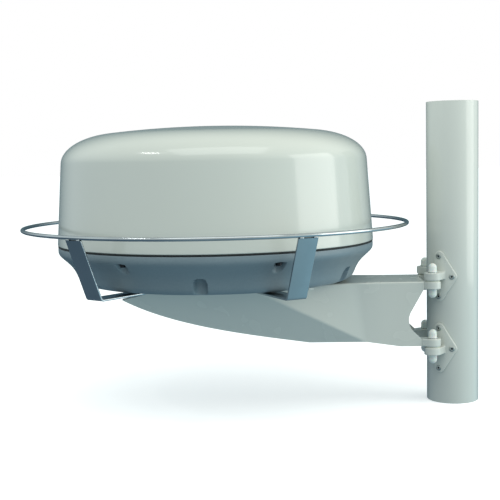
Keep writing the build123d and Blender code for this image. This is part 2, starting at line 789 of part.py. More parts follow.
# Transceiver: a finned aluminium case on the chassis, away from the mast
CASE_X = -128.0
with BuildPart() as transceiver:
    with BuildSketch(level(CHASSIS_TOP, CASE_X, 0)):
        RectangleRounded(96, 150, 5)
    extrude(amount=38.0)
    fin_pitch = 8.0
    with BuildSketch(level(CHASSIS_TOP + 28.0, CASE_X, 0)):
        with GridLocations(1, fin_pitch, 1, 17):
            Rectangle(80.0, fin_pitch / 2)
    extrude(amount=12.0, mode=Mode.SUBTRACT)
transceiver.part.label = "transceiver_case"
export_step(transceiver.part, "parts/transceiver_case.step")

with BuildPart() as magnetron:
    with BuildSketch(level(CHASSIS_TOP, -30, 78)):
        Rectangle(42, 34)
    extrude(amount=7.0)
    with BuildSketch(level(CHASSIS_TOP + 7.0, -30, 78)):
        Circle(14.0)
    extrude(amount=26.0)
    for h in (11.0, 17.0, 23.0, 29.0):
        with BuildSketch(level(CHASSIS_TOP + h, -30, 78)):
            Circle(17.0)
        extrude(amount=2.0)
    with BuildSketch(level(CHASSIS_TOP + 33.0, -30, 78)):
        Rectangle(42, 34)
    extrude(amount=6.0)
magnetron.part.label = "magnetron"
export_step(magnetron.part, "parts/magnetron.step")

with BuildPart() as board:
    with BuildSketch(level(BOARD_H, BOARD_X, 0)):
        RectangleRounded(72, 146, 3)
    extrude(amount=1.6)
board.part.label = "power_board"
export_step(board.part, "parts/power_board.step")

with BuildPart() as board_parts:
    top = BOARD_H + 1.6
    with BuildSketch(level(top, BOARD_X, 0)):
        with Locations((-14, 40), (8, 44)):
            Circle(9.0)
    extrude(amount=24.0)
    with BuildSketch(level(top, BOARD_X, 0)):
        with Locations((-4, 0)):
            RectangleRounded(38, 32, 2)
    extrude(amount=22.0)
    with BuildSketch(level(top, BOARD_X, 0)):
        with Locations((-18, -44), (8, -50)):
            Rectangle(20, 12)
        with Locations((24, -20), (24, 12), (-16, -26)):
            Rectangle(9, 14)
    extrude(amount=9.0)
board_parts.part.label = "board_components"
export_step(board_parts.part, "parts/board_components.step")

with BuildPart() as receiver:
    with BuildSketch(level(CHASSIS_TOP, 25, -74)):
        RectangleRounded(110, 46, 3)
    extrude(amount=20.0)
    with BuildSketch(level(CHASSIS_TOP + 20.0, 25, -74)):
        RectangleRounded(104, 40, 2)
    extrude(amount=1.2)
receiver.part.label = "receiver_module"
export_step(receiver.part, "parts/receiver_module.step")


# ---------------------------------------------------------------- scanner drive

def involute_gear(teeth, turn, backlash=0.12):
    """Draw one spur gear's outline; a tooth points along local +X when turn is zero."""
    pitch_r = GEAR_MODULE * teeth / 2
    base_r = pitch_r * cos(radians(20))
    root_r = pitch_r - 1.25 * GEAR_MODULE
    tip_r = pitch_r + GEAR_MODULE

    def roll(r):
        t = max((r / base_r) ** 2 - 1, 0) ** 0.5
        return t - atan2(t, 1)

    half = (pi * GEAR_MODULE / 2 - backlash) / (2 * pitch_r) + roll(pitch_r)
    start = max(base_r, root_r)
    radii = [start + (tip_r - start) * i / 4 for i in range(5)]
    flank = [(root_r, half)] * (root_r < base_r - 0.01) + [(r, half - roll(r)) for r in radii]
    points = []
    for tooth in range(teeth):
        middle = 2 * pi * tooth / teeth + radians(turn)
        for r, a in flank:
            points.append((r * cos(middle - a), r * sin(middle - a)))
        for r, a in reversed(flank):
            points.append((r * cos(middle + a), r * sin(middle + a)))
    with BuildSketch() as half:
        with BuildLine():
            Polyline(*points, close=True)
        make_face()
    return half.sketch


with BuildPart() as housing:
    with BuildSketch(level(CHASSIS_TOP)):
        Circle(42.0)
    extrude(amount=5.0)
    with BuildSketch(level(CHASSIS_TOP)):
        Circle(29.0)
    extrude(amount=HOUSING_TOP - CHASSIS_TOP)
    # webs stiffen the barrel
    with BuildSketch(level(CHASSIS_TOP + 5.0)):
        with PolarLocations(34.0, 4, start_angle=45):
            Rectangle(12.0, 5.0)
    extrude(amount=22.0)
    with BuildSketch(level(CHASSIS_TOP - 1)):
        Circle(14.5)
    extrude(amount=HOUSING_TOP - CHASSIS_TOP + 2, mode=Mode.SUBTRACT)
    for h in BEARING_HEIGHTS:
        with BuildSketch(level(h)):
            Circle(BEARING_R + 0.02)
        extrude(amount=BEARING_WIDTH + (2.1 if h > 60 else 0), mode=Mode.SUBTRACT)
housing.part.label = "bearing_housing"
export_step(housing.part, "parts/bearing_housing.step")


with BuildPart() as ball_tracks:
    for h in BEARING_HEIGHTS:
        with BuildSketch(PROFILE):
            with Locations((BALL_CIRCLE, h + BEARING_WIDTH / 2)):
                Circle(BALL_R + 0.06)
        revolve(axis=DOME_AXIS)

with BuildPart() as outer_rings:
    for h in BEARING_HEIGHTS:
        with BuildSketch(level(h)):
            Circle(BEARING_R)
            Circle(17.1, mode=Mode.SUBTRACT)
        extrude(amount=BEARING_WIDTH)
    add(ball_tracks.part, mode=Mode.SUBTRACT)
outer_rings.part.label = "bearing_outer_rings"
export_step(outer_rings.part, "parts/bearing_outer_rings.step")

with BuildPart() as inner_rings:
    for h in BEARING_HEIGHTS:
        with BuildSketch(level(h)):
            Circle(13.9)
            Circle(SPINDLE_R + 0.01, mode=Mode.SUBTRACT)
        extrude(amount=BEARING_WIDTH)
    add(ball_tracks.part, mode=Mode.SUBTRACT)
inner_rings.part.label = "bearing_inner_rings"
export_step(inner_rings.part, "parts/bearing_inner_rings.step")

with BuildPart() as balls:
    for h in BEARING_HEIGHTS:
        with Locations(level(h + BEARING_WIDTH / 2)):
            with PolarLocations(BALL_CIRCLE, 10):
                Sphere(BALL_R)
balls.part.label = "bearing_balls"
export_step(balls.part, "parts/bearing_balls.step")

SPINDLE_BOTTOM = 31.0
SPINDLE_TOP = 118.0
with BuildPart() as spindle:
    with BuildSketch(level(SPINDLE_BOTTOM)):
        Circle(SPINDLE_R)
    extrude(amount=SPINDLE_TOP - SPINDLE_BOTTOM)
    with BuildSketch(level(SPINDLE_TOP - 6.0)):
        Circle(24.0)
    extrude(amount=6.0)
    with BuildSketch(level(SPINDLE_BOTTOM)):
        Circle(6.5)
    extrude(amount=SPINDLE_TOP - SPINDLE_BOTTOM, mode=Mode.SUBTRACT)
spindle.part.label = "spindle"
export_step(spindle.part, "parts/spindle.step")

with BuildPart() as rotary_joint:
    with BuildSketch(level(CHASSIS_H - 8.0)):
        Rectangle(30, 18)
    extrude(amount=7.9)
    with BuildSketch(level(CHASSIS_H - 0.2)):
        Circle(12.0)
    extrude(amount=5.5)
    with BuildSketch(level(CHASSIS_H)):
        Circle(3.0)
    extrude(amount=SPINDLE_TOP - 6.0 - CHASSIS_H)
rotary_joint.part.label = "rotary_joint"
export_step(rotary_joint.part, "parts/rotary_joint.step")

with BuildPart() as driven_gear:
    with BuildSketch(level(GEAR_H)):
        add(involute_gear(GEAR_TEETH, 0.0))
        Circle(SPINDLE_R + 0.01, mode=Mode.SUBTRACT)
        with PolarLocations(32.0, 6, start_angle=30):
            Circle(9.0, mode=Mode.SUBTRACT)
    extrude(amount=GEAR_FACE)
    with BuildSketch(level(GEAR_H + GEAR_FACE)):
        Circle(17.0)
        Circle(SPINDLE_R + 0.01, mode=Mode.SUBTRACT)
    extrude(amount=8.0)
driven_gear.part.label = "driven_gear"
export_step(driven_gear.part, "parts/driven_gear.step")

with BuildPart() as pinion:
    with BuildSketch(level(GEAR_H - 0.5, DRIVE_CENTRES, 0)):
        add(involute_gear(PINION_TEETH, 180.0 / PINION_TEETH))
        Circle(3.01, mode=Mode.SUBTRACT)
    extrude(amount=GEAR_FACE + 1.0)
pinion.part.label = "motor_pinion"
export_step(pinion.part, "parts/motor_pinion.step")

SHAFT_BOTTOM = 68.0
with BuildPart() as motor_shaft:
    with BuildSketch(level(SHAFT_BOTTOM, DRIVE_CENTRES, 0)):
        Circle(3.0)
    extrude(amount=GEAR_H + GEAR_FACE + 2.0 - SHAFT_BOTTOM)
motor_shaft.part.label = "motor_shaft"
export_step(motor_shaft.part, "parts/motor_shaft.step")

MOTOR_BOTTOM = CHASSIS_TOP + 1.0
with BuildPart() as motor:
    with BuildSketch(level(MOTOR_BOTTOM, DRIVE_CENTRES, 0)):
        Circle(20.0)
    extrude(amount=HOUSING_TOP - 12.0 - MOTOR_BOTTOM)
    with BuildSketch(level(HOUSING_TOP - 12.0, DRIVE_CENTRES, 0)):
        RectangleRounded(40.0, 40.0, 5.0)
    extrude(amount=12.0)
    with BuildSketch(level(SHAFT_BOTTOM - 0.5, DRIVE_CENTRES, 0)):
        Circle(3.05)
    extrude(amount=30.0, mode=Mode.SUBTRACT)
motor.part.label = "drive_motor"
export_step(motor.part, "parts/drive_motor.step")

MOTOR_SCREWS = [(DRIVE_CENTRES + x * 13.5, y * 13.5) for x in (-1, 1) for y in (-1, 1)]
with BuildPart() as motor_bracket:
    with BuildSketch(level(HOUSING_TOP)):
        Circle(31.0)
        with Locations((DRIVE_CENTRES, 0)):
            RectangleRounded(46.0, 46.0, 6.0)
        make_hull()
        Circle(BEARING_R - 4.0, mode=Mode.SUBTRACT)
        with Locations((DRIVE_CENTRES, 0)):
            Circle(7.0, mode=Mode.SUBTRACT)
        with Locations(*MOTOR_SCREWS):
            Circle(1.7, mode=Mode.SUBTRACT)
    extrude(amount=3.0)
motor_bracket.part.label = "motor_bracket"
export_step(motor_bracket.part, "parts/motor_bracket.step")

with BuildPart() as pan_screws:
    for spots, start, plate, shank_r, head_r in (
        (PILLAR_SPOTS, CHASSIS_H, CHASSIS_THICK, 2.1, 4.0),
        (MOTOR_SCREWS, HOUSING_TOP, 3.0, 1.5, 2.7),
    ):
        with BuildSketch(level(start)):
            with Locations(*spots):
                Circle(shank_r)
        extrude(amount=plate + 0.1)
        with BuildSketch(level(start + plate)):
            with Locations(*spots):
                Circle(head_r)
        extrude(amount=0.65 * head_r)
        with BuildSketch(level(start + plate + 0.3 * head_r)):
            with Locations(*spots):
                Rectangle(1.2 * head_r, 0.25 * head_r)
                Rectangle(0.25 * head_r, 1.2 * head_r)
        extrude(amount=head_r, mode=Mode.SUBTRACT)
pan_screws.part.label = "pan_screws"
export_step(pan_screws.part, "parts/pan_screws.step")

with BuildPart() as heading_magnet:
    with BuildSketch(level(GEAR_H - 2.4, 0, 47.0)):
        Circle(2.6)
    extrude(amount=2.4)
heading_magnet.part.label = "heading_magnet"
export_step(heading_magnet.part, "parts/heading_magnet.step")

with BuildPart() as heading_sensor:
    with BuildSketch(level(CHASSIS_TOP, 0, 48.0)):
        Rectangle(14, 8)
    extrude(amount=3.0)
    with BuildSketch(level(CHASSIS_TOP, 0, 48.0)):
        Rectangle(9, 3)
    extrude(amount=GEAR_H - 4.4 - CHASSIS_TOP)
heading_sensor.part.label = "heading_sensor"
export_step(heading_sensor.part, "parts/heading_sensor.step")

# Antenna: a slotted feed behind a moulded window, in an aluminium channel that is screwed
# to the spindle's flange through a carrier.
CARRIER_H = SPINDLE_TOP
with BuildPart() as carrier:
    with BuildSketch(level(CARRIER_H)):
        RectangleRounded(150, 50, 6)
        Circle(6.5, mode=Mode.SUBTRACT)
    extrude(amount=3.0)
    with BuildSketch(level(CARRIER_H, 0, 23.5)):
        Rectangle(150, 3)
    extrude(amount=46.0)
carrier.part.label = "array_carrier"
export_step(carrier.part, "parts/array_carrier.step")

ARRAY_H = CARRIER_H + 5.0
with BuildPart() as channel:
    with BuildSketch(level(ARRAY_H, 0, 0)):
        with Locations((0, 1.0)):
            Rectangle(ARRAY_LENGTH, 41.9)
    extrude(amount=64.0)
    with BuildSketch(level(ARRAY_H + 2.0, 0, 0)):
        with Locations((0, -1.5)):
            Rectangle(ARRAY_LENGTH + 2, 42.0)
    extrude(amount=60.0, mode=Mode.SUBTRACT)
channel.part.label = "array_channel"
export_step(channel.part, "parts/array_channel.step")

with BuildPart() as feed:
    with BuildSketch(level(ARRAY_H + 20.0, 0, 10.0)):
        Rectangle(ARRAY_LENGTH - 12, 19.0)
    extrude(amount=24.0)
    slots = 27
    with BuildSketch(level(ARRAY_H + 24.0, 0, 0.5)):
        with GridLocations((ARRAY_LENGTH - 40) / slots, 1, slots, 1):
            Rectangle(2.0, 3.0)
    extrude(amount=16.0, mode=Mode.SUBTRACT)
feed.part.label = "slotted_feed"
export_step(feed.part, "parts/slotted_feed.step")

with BuildPart() as window:
    with BuildSketch(Plane(origin=deck(0, -22.7, ARRAY_H + 32), x_dir=(1, 0, 0), z_dir=(0, -1, 0))):
        RectangleRounded(ARRAY_LENGTH - 0.2, 62.0, 5.0)
    extrude(amount=3.0)
    with BuildSketch(Plane(origin=deck(0, -22.7, ARRAY_H + 32), x_dir=(1, 0, 0), z_dir=(0, -1, 0))):
        Rectangle(ARRAY_LENGTH - 24, 54.0)
    extrude(amount=-8.0)
window.part.label = "array_window"
export_step(window.part, "parts/array_window.step")
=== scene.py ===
import json
from math import acos, asin, atan2, cos, degrees, hypot, pi, radians, sin, sqrt

import bmesh
import bpy
from mathutils import Matrix, Vector


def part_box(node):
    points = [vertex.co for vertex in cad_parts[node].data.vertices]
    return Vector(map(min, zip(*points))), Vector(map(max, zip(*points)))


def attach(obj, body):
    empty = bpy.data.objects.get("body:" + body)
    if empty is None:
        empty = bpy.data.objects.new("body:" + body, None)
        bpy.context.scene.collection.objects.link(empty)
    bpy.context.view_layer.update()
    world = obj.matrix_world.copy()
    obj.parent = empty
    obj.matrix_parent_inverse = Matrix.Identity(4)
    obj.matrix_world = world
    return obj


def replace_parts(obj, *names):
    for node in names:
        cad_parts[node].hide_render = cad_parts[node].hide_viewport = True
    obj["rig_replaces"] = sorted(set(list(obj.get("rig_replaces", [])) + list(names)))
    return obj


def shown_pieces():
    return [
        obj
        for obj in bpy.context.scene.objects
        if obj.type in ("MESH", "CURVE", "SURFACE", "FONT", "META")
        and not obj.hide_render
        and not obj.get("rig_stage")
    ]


# The looks of a marine radar dome on its hinged mast bracket, with its guard and a length of
# mast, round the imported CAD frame. Lengths below are in millimetres where a name or a helper
# says so, and MM turns them into Blender's metres. Heights h are above the bracket's deck.

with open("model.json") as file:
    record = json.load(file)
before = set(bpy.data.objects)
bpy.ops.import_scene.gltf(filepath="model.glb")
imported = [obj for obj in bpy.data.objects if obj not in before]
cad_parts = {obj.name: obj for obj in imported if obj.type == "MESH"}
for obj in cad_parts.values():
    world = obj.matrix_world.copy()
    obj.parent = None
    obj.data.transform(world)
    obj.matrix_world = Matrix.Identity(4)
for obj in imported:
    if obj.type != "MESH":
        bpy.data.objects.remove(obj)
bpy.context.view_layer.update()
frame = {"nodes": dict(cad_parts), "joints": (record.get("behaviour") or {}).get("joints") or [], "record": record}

MM = 0.001
JOINTS = {joint["name"]: joint for joint in frame["joints"]}
DOME = Vector((JOINTS["antenna_spin"]["pos_m"][0], JOINTS["antenna_spin"]["pos_m"][1], 0.0))
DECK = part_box("bracket_top_plate")[1].z


def width_mm(node):
    """A node's size along X, in millimetres."""
    low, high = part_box(node)
    return (high.x - low.x) / MM


def height_mm(z):
    """Height above the deck, in millimetres."""
    return (z - DECK) / MM


def deck(x, y, h):
    """Row-frame point of local millimetres from the dome axis at the deck's top."""
    return DOME + Vector((x * MM, y * MM, DECK + h * MM))


def around(azimuth, radius):
    """Local x and y, in millimetres, on a circle about the dome axis; azimuth 0 faces -Y."""
    a = radians(azimuth)
    return radius * sin(a), -radius * cos(a)


# -------- sizes

SOFT = 0.7                 # half the width over which a pocket's edge turns
COVER_R = 260.0
COVER_LOW = height_mm(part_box("radome_cover")[0].z)
COVER_TOP = height_mm(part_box("radome_cover")[1].z)
BASE_LOW = 4.5
RIM_TOP = height_mm(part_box("radome_base")[1].z)
WALL = 4.0
COVER_WALL_TOP = (251, 200)    # radius and height where the cover's wall starts to bend
CROWN_R = 1600.0
CROWN_EDGE = 175.0
BOSS_R = 8.2
BOSS_RISE = 22.0
RADOME_TURN = -1.4
CLAMPS = [a + RADOME_TURN for a in (-27.2, 27.2, 90.0, 152.8, 207.2, 270.0)]
CLAMP_CIRCLE = 249.0
CLAMP_R = 8.7
CLAMP_CEILING = 53.0
POCKETS = [a + RADOME_TURN for a in (0.0, 66.6, 113.4, 180.0, 246.6, 293.4)]
POCKET_CIRCLE = 223.8
POCKET_R = 10.2
POCKET_DOME = 20.8

GUARD_TURN = -3.35
LEG_SPREAD = 32.0
ROD_R = (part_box("guard_ring")[1].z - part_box("guard_ring")[0].z) / MM / 2
RING_R = width_mm("guard_ring") / 2 - ROD_R
RING_H = height_mm((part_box("guard_ring")[1].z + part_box("guard_ring")[0].z) / 2)
BAR_THICK = 3.0
BAR_WIDTH = 32.0
FOOT_R = 278.0
HUB_R = width_mm("guard_hub_plate") / 2
BOLT_SPREAD = 80.0         # the deck's bolts and the pan's pads, from the dome axis along X and Y

SHEET = 4.0
DECK_HALF = 112.0
DECK_CORNER = 14.0
DECK_END = 160.0
ARM_HALF = 52.7
NOSE = -120.0
FLANK_START = -74.0
SHOULDER = 59.4
NECK = 203.0
ARM_END = 338.0
EAR_END = 334.0
EAR_LEVELS = (-12.0, -93.0)    # the arm's end is upright above the first and below the second
KEEL = 244.0
KEEL_DROP = 97.0
HEEL = 300.0
HEEL_DROP = 105.0
FACET_EDGE = ((-143, 20), (-64.5, 76.8), (59.3, 96.5))    # x and distance down the facet
FACET_END = 153
BEND_SHARE = 0.12          # how far along the flank the bend into the arm starts
BEND_PAST = 90.0           # how far past the neck it ends
BEND_STEPS = 24
FOLD_STEPS = 16            # of the bend's strips, those that start on the fold
BOLT_HOLE_R = 4.5
HUB_HOLE_R = 28.0
SLOT_X = 170.0
SLOT_R = 18.0
SLOT_STRETCH = 24.0

MAST_R = width_mm("mast_section") / 2
MAST_WALL = 3.0
MAST_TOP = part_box("mast_section")[1].z / MM

FOOT_CENTRES = (209.4, 91.6)
FOOT_FACE_R = MAST_R + 3.5     # the foot plates' outer face, round the mast's axis
RIVET_SPOTS = ((-37.5, 32.7), (-9.8, 0.0), (-37.5, -32.7))    # angle, and height off the centre

HINGE_X = -39.0
HINGE_Y = 48.7
LUG_HALF = 6.0
LUG_OFFSET = 1.8
CAP_WASHER = 1.2
CAP_R = 7.2
CAP_HEIGHT = 13.8


# -------- curves in a half section

def bezier(points, steps):
    """Points along a cubic Bezier through its four control points."""
    a, b, c, d = (Vector(p) for p in points)
    made = []
    for i in range(steps + 1):
        t = i / steps
        s = 1 - t
        made.append(tuple(s**3 * a + 3 * s * s * t * b + 3 * s * t * t * c + t**3 * d))
    return made


def arc(centre, radius, start, end, steps):
    """Points along an arc, angles in degrees."""
    made = []
    for i in range(steps + 1):
        a = radians(start + (end - start) * i / steps)
        made.append((centre[0] + radius * cos(a), centre[1] + radius * sin(a)))
    return made


def straight(a, b, steps):
    """Points from a towards b, without b."""
    return [tuple(p + (q - p) * i / steps for p, q in zip(a, b)) for i in range(steps)]


# -------- mesh helpers

def lathe(bm, profile, centre, steps, closed=True, spans=None, warp=None):
    """Turns a half section of (radius, height) points, in millimetres, about a vertical axis.

    centre is the row-frame point at height 0. spans lists the azimuths in degrees where they
    aren't even. warp moves a point: it takes radius, height and azimuth and gives a radius.
    """
    azimuths = spans or [360.0 * i / steps for i in range(steps)]
    rings = []
    for radius, height in profile:
        if radius < 1e-6:
            rings.append([bm.verts.new(centre + Vector((0, 0, height * MM)))])
            continue
        ring = []
        for azimuth in azimuths:
            r = warp(radius, height, azimuth) if warp else radius
            x, y = around(azimuth, r)
            ring.append(bm.verts.new(centre + Vector((x * MM, y * MM, height * MM))))
        rings.append(ring)
    pairs = list(zip(rings, rings[1:]))
    if closed:
        pairs.append((rings[-1], rings[0]))
    for low, high in pairs:
        if len(low) == 1 and len(high) == 1:
            continue
        count = max(len(low), len(high))
        for i in range(count):
            j = (i + 1) % count
            corners = (low[i % len(low)], low[j % len(low)],
                       high[j % len(high)], high[i % len(high)])
            bm.faces.new(list(dict.fromkeys(corners)))


def sweep(bm, path, section, side):
    """Runs a closed 2D section along a path of row-frame points; side is its fixed x direction."""
    rings = []
    for i, point in enumerate(path):
        before = path[max(i - 1, 0)]
        after = path[min(i + 1, len(path) - 1)]
        tangent = (after - before).normalized()
        up = side.cross(tangent).normalized()
        # the section leans into a bend, so that the bar keeps its thickness
        if 0 < i < len(path) - 1:
            half_turn = (point - before).angle(after - point) / 2
            up = up / cos(half_turn)
        rings.append([bm.verts.new(point + side * x * MM + up * y * MM) for x, y in section])
    for low, high in zip(rings, rings[1:]):
        for i in range(len(section)):
            j = (i + 1) % len(section)
            bm.faces.new((low[i], low[j], high[j], high[i]))
    bm.faces.new(list(reversed(rings[0])))
    bm.faces.new(rings[-1])


def rounded_bar(width, thick, radius, steps=4):
    """A rectangle's outline with round corners, anticlockwise."""
    w, t = width / 2 - radius, thick / 2 - radius
    corners = ((w, t, 0), (-w, t, 90), (-w, -t, 180), (w, -t, 270))
    return [p for x, y, a in corners for p in arc((x, y), radius, a, a + 90, steps)]


def finish_mesh(bm, name, sharp=35.0):
    """Turns a bmesh into an object with outward normals and smooth shading below an angle."""
    bmesh.ops.recalc_face_normals(bm, faces=bm.faces)
    mesh = bpy.data.meshes.new(name)
    bm.to_mesh(mesh)
    bm.free()
    mesh.shade_smooth()
    mesh.set_sharp_from_angle(angle=radians(sharp))
    made = bpy.data.objects.new(name, mesh)
    bpy.context.scene.collection.objects.link(made)
    return made


def apply_modifiers(piece):
    """Leaves a piece with the mesh that its modifiers make."""
    bpy.context.view_layer.update()
    graph = bpy.context.evaluated_depsgraph_get()
    mesh = bpy.data.meshes.new_from_object(piece.evaluated_get(graph))
    piece.modifiers.clear()
    piece.data = mesh


def place(piece, body, slot, *stands_for):
    """Gives a piece its body, its finish and the CAD nodes that it stands for."""
    piece.data.materials.clear()
    piece.data.materials.append(FINISHES[slot])
    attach(piece, body)
    if stands_for:
        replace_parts(piece, *stands_for)
    return piece


def copy_of(node, name):
    """A new mesh with a CAD node's shape, its corners merged and its flat faces whole."""
    bm = bmesh.new()
    bm.from_mesh(frame["nodes"][node].data)
    bmesh.ops.remove_doubles(bm, verts=bm.verts, dist=2e-6)
    bmesh.ops.dissolve_limit(bm, angle_limit=radians(0.5), verts=bm.verts, edges=bm.edges)
    return finish_mesh(bm, name)


def eased(node, name, width, sharp=40.0):
    """A machined or pressed piece: a CAD node's shape with its edges broken by a small round."""
    piece = copy_of(node, name)
    bevel = piece.modifiers.new("edges", "BEVEL")
    bevel.width = width * MM
    bevel.segments = 2
    bevel.limit_method = "ANGLE"
    bevel.angle_limit = radians(sharp)
    bevel.use_clamp_overlap = True
    bevel.harden_normals = False
    apply_modifiers(piece)
    piece.data.shade_smooth()
    piece.data.set_sharp_from_angle(angle=radians(sharp))
    return piece


def cast(node, name, voxel=0.8, rounds=4):
    """A cast piece: a CAD node's shape with every edge soft, as it leaves the mould."""
    piece = copy_of(node, name)
    remesh = piece.modifiers.new("skin", "REMESH")
    remesh.mode = "VOXEL"
    remesh.voxel_size = voxel * MM
    soften = piece.modifiers.new("soften", "SMOOTH")
    soften.factor = 0.5
    soften.iterations = rounds
    apply_modifiers(piece)
    piece.data.shade_smooth()
    return piece


# -------- material helpers

class Finish:
    """A small helper for wiring one procedural material."""

    def __init__(self, name, roughness, metallic=0.0, **sockets):
        self.material = bpy.data.materials.new(name)
        self.material.use_nodes = True
        self.tree = self.material.node_tree
        self.shader = self.tree.nodes["Principled BSDF"]
        self.shader.inputs["Roughness"].default_value = roughness
        self.shader.inputs["Metallic"].default_value = metallic
        for socket, value in sockets.items():
            self.shader.inputs[socket.replace("_", " ")].default_value = value
        self.place = self.node("ShaderNodeTexCoord").outputs["Object"]

    def node(self, kind, **settings):
        made = self.tree.nodes.new(kind)
        for key, value in settings.items():
            setattr(made, key, value)
        return made

    def link(self, source, target):
        self.tree.links.new(source, target)

    def stretched(self, scale):
        """The object's own coordinates, scaled along each axis."""
        mapping = self.node("ShaderNodeMapping")
        mapping.inputs["Scale"].default_value = scale
        self.link(self.place, mapping.inputs["Vector"])
        return mapping.outputs["Vector"]

    def noise(self, scale, detail=4.0, stretch=None, distortion=0.0):
        """Noise with scale features to the metre."""
        made = self.node("ShaderNodeTexNoise")
        made.inputs["Scale"].default_value = scale
        made.inputs["Detail"].default_value = detail
        made.inputs["Distortion"].default_value = distortion
        self.link(self.stretched(stretch) if stretch else self.place, made.inputs["Vector"])
        return made.outputs["Fac"]

    def cells(self, scale, feature="F1"):
        made = self.node("ShaderNodeTexVoronoi", feature=feature)
        made.inputs["Scale"].default_value = scale
        self.link(self.place, made.inputs["Vector"])
        return made.outputs["Distance"]

    def spread(self, source, low, high, start=0.35, end=0.65):
        """Maps a value from start..end to low..high."""
        made = self.node("ShaderNodeMapRange")
        for socket, value in (
            ("From Min", start), ("From Max", end), ("To Min", low), ("To Max", high)
        ):
            made.inputs[socket].default_value = value
        self.link(source, made.inputs["Value"])
        return made.outputs["Result"]

    def blend(self, factor, first, second):
        """Mixes two colours, each a tuple or another node's output."""
        made = self.node("ShaderNodeMix", data_type="RGBA")
        self.link(factor, made.inputs[0])
        for index, colour in ((6, first), (7, second)):
            if isinstance(colour, tuple):
                made.inputs[index].default_value = (*colour, 1.0)
            else:
                self.link(colour, made.inputs[index])
        return made.outputs[2]

    def colour(self, source):
        self.link(source, self.shader.inputs["Base Color"])

    def roughness(self, source):
        self.link(source, self.shader.inputs["Roughness"])

    def bump(self, *layers):
        """Layers of (height source, strength, depth in millimetres), the coarsest first."""
        normal = None
        for source, strength, depth in layers:
            made = self.node("ShaderNodeBump")
            made.inputs["Strength"].default_value = strength
            made.inputs["Distance"].default_value = depth * MM
            self.link(source, made.inputs["Height"])
            if normal:
                self.link(normal, made.inputs["Normal"])
            normal = made.outputs["Normal"]
        self.link(normal, self.shader.inputs["Normal"])


def srgb(red, green, blue):
    """A colour given as 0-255 screen values, as linear light."""
    made = []
    for value in (red, green, blue):
        v = value / 255
        made.append(v / 12.92 if v <= 0.04045 else ((v + 0.055) / 1.055) ** 2.4)
    return tuple(made)


def shaded(colour, factor):
    """A colour made lighter or darker."""
    return tuple(min(1.0, channel * factor) for channel in colour)


# -------- materials

def gloss_paint(name, colour, roughness, peel, coat):
    """Sprayed gloss paint: an even coat with a faint orange peel and slight clouding."""
    made = Finish(name, roughness, Coat_Weight=coat, Coat_Roughness=0.06)
    clouds = made.spread(made.noise(7.0, 2.0), 0.0, 1.0, 0.2, 0.8)
    made.colour(made.blend(clouds, shaded(colour, 0.98), shaded(colour, 1.01)))
    made.roughness(made.spread(made.noise(22.0, 2.0), roughness * 0.9, roughness * 1.12, 0.2, 0.8))
    made.bump((made.noise(peel, 2.0), 0.08, 0.02), (made.noise(2600.0, 2.0), 0.05, 0.01))
    return made.material


def cast_paint(name, colour):
    """Paint over a sand-blasted casting: the grain of the casting shows through."""
    made = Finish(name, 0.34, Coat_Weight=0.25, Coat_Roughness=0.15)
    clouds = made.spread(made.noise(30.0, 4.0), 0.0, 1.0)
    made.colour(made.blend(clouds, shaded(colour, 0.93), shaded(colour, 1.03)))
    made.roughness(made.spread(made.noise(90.0, 5.0), 0.27, 0.42))
    made.bump((made.noise(220.0, 3.0), 0.35, 0.12), (made.noise(1100.0, 3.0), 0.3, 0.05))
    return made.material


def moulded(name, colour, roughness, grain=1400.0, depth=0.03, clouding=0.05, **sockets):
    """Moulded plastic with a fine spark-eroded grain and a little shading in its colour."""
    made = Finish(name, roughness, **sockets)
    clouds = made.spread(made.noise(11.0, 5.0), 0.0, 1.0, 0.3, 0.7)
    speck = made.spread(made.noise(grain / 3, 4.0), 0.0, 1.0, 0.45, 0.6)
    tone = made.blend(clouds, shaded(colour, 1 - clouding), shaded(colour, 1 + clouding))
    made.colour(made.blend(made.spread(speck, 0.0, 0.5, 0.0, 1.0), tone, shaded(colour, 0.92)))
    made.roughness(made.spread(made.noise(40.0, 5.0), roughness * 0.82, roughness * 1.2))
    made.bump((made.noise(30.0, 2.0), 0.1, 0.2), (made.cells(grain), 0.35, depth))
    return made.material


def bright_metal(name, colour, roughness, stretch, lines=900.0, scratch=0.12):
    """Metal with drawn or polished lines; stretch squeezes them along one axis."""
    made = Finish(name, roughness, metallic=1.0)
    smudge = made.spread(made.noise(18.0, 6.0), 0.0, 1.0, 0.4, 0.68)
    made.colour(made.blend(smudge, colour, shaded(colour, 0.88)))
    grain = made.noise(lines, 3.0, stretch=stretch)
    marks = made.spread(grain, roughness * 0.75, roughness * 1.5, 0.3, 0.7)
    made.roughness(marks)
    made.bump((grain, scratch, 0.02), (made.noise(40.0, 3.0), 0.06, 0.1))
    return made.material


def cast_metal(name, colour, roughness, grain=500.0):
    """Bare cast alloy: a sandy skin with darker pores."""
    made = Finish(name, roughness, metallic=0.85)
    pores = made.spread(made.cells(grain), 0.0, 1.0, 0.02, 0.4)
    patch = made.spread(made.noise(24.0, 5.0), 0.0, 1.0)
    tone = made.blend(patch, shaded(colour, 0.85), shaded(colour, 1.08))
    made.colour(made.blend(pores, shaded(colour, 0.55), tone))
    made.roughness(made.spread(made.noise(120.0, 4.0), roughness * 0.85, roughness * 1.2))
    made.bump((made.noise(160.0, 4.0), 0.3, 0.15), (made.cells(grain), 0.4, 0.06))
    return made.material


def turned_metal(name, colour, roughness):
    """Metal turned in a lathe: fine rings that run round an upright axis."""
    made = Finish(name, roughness, metallic=1.0)
    rings = made.noise(60.0, 3.0, stretch=(1.0, 1.0, 60.0))
    shade = made.spread(rings, 0.0, 1.0)
    made.colour(made.blend(shade, shaded(colour, 0.86), shaded(colour, 1.05)))
    made.roughness(made.spread(rings, roughness * 0.8, roughness * 1.35))
    made.bump((rings, 0.2, 0.03))
    return made.material


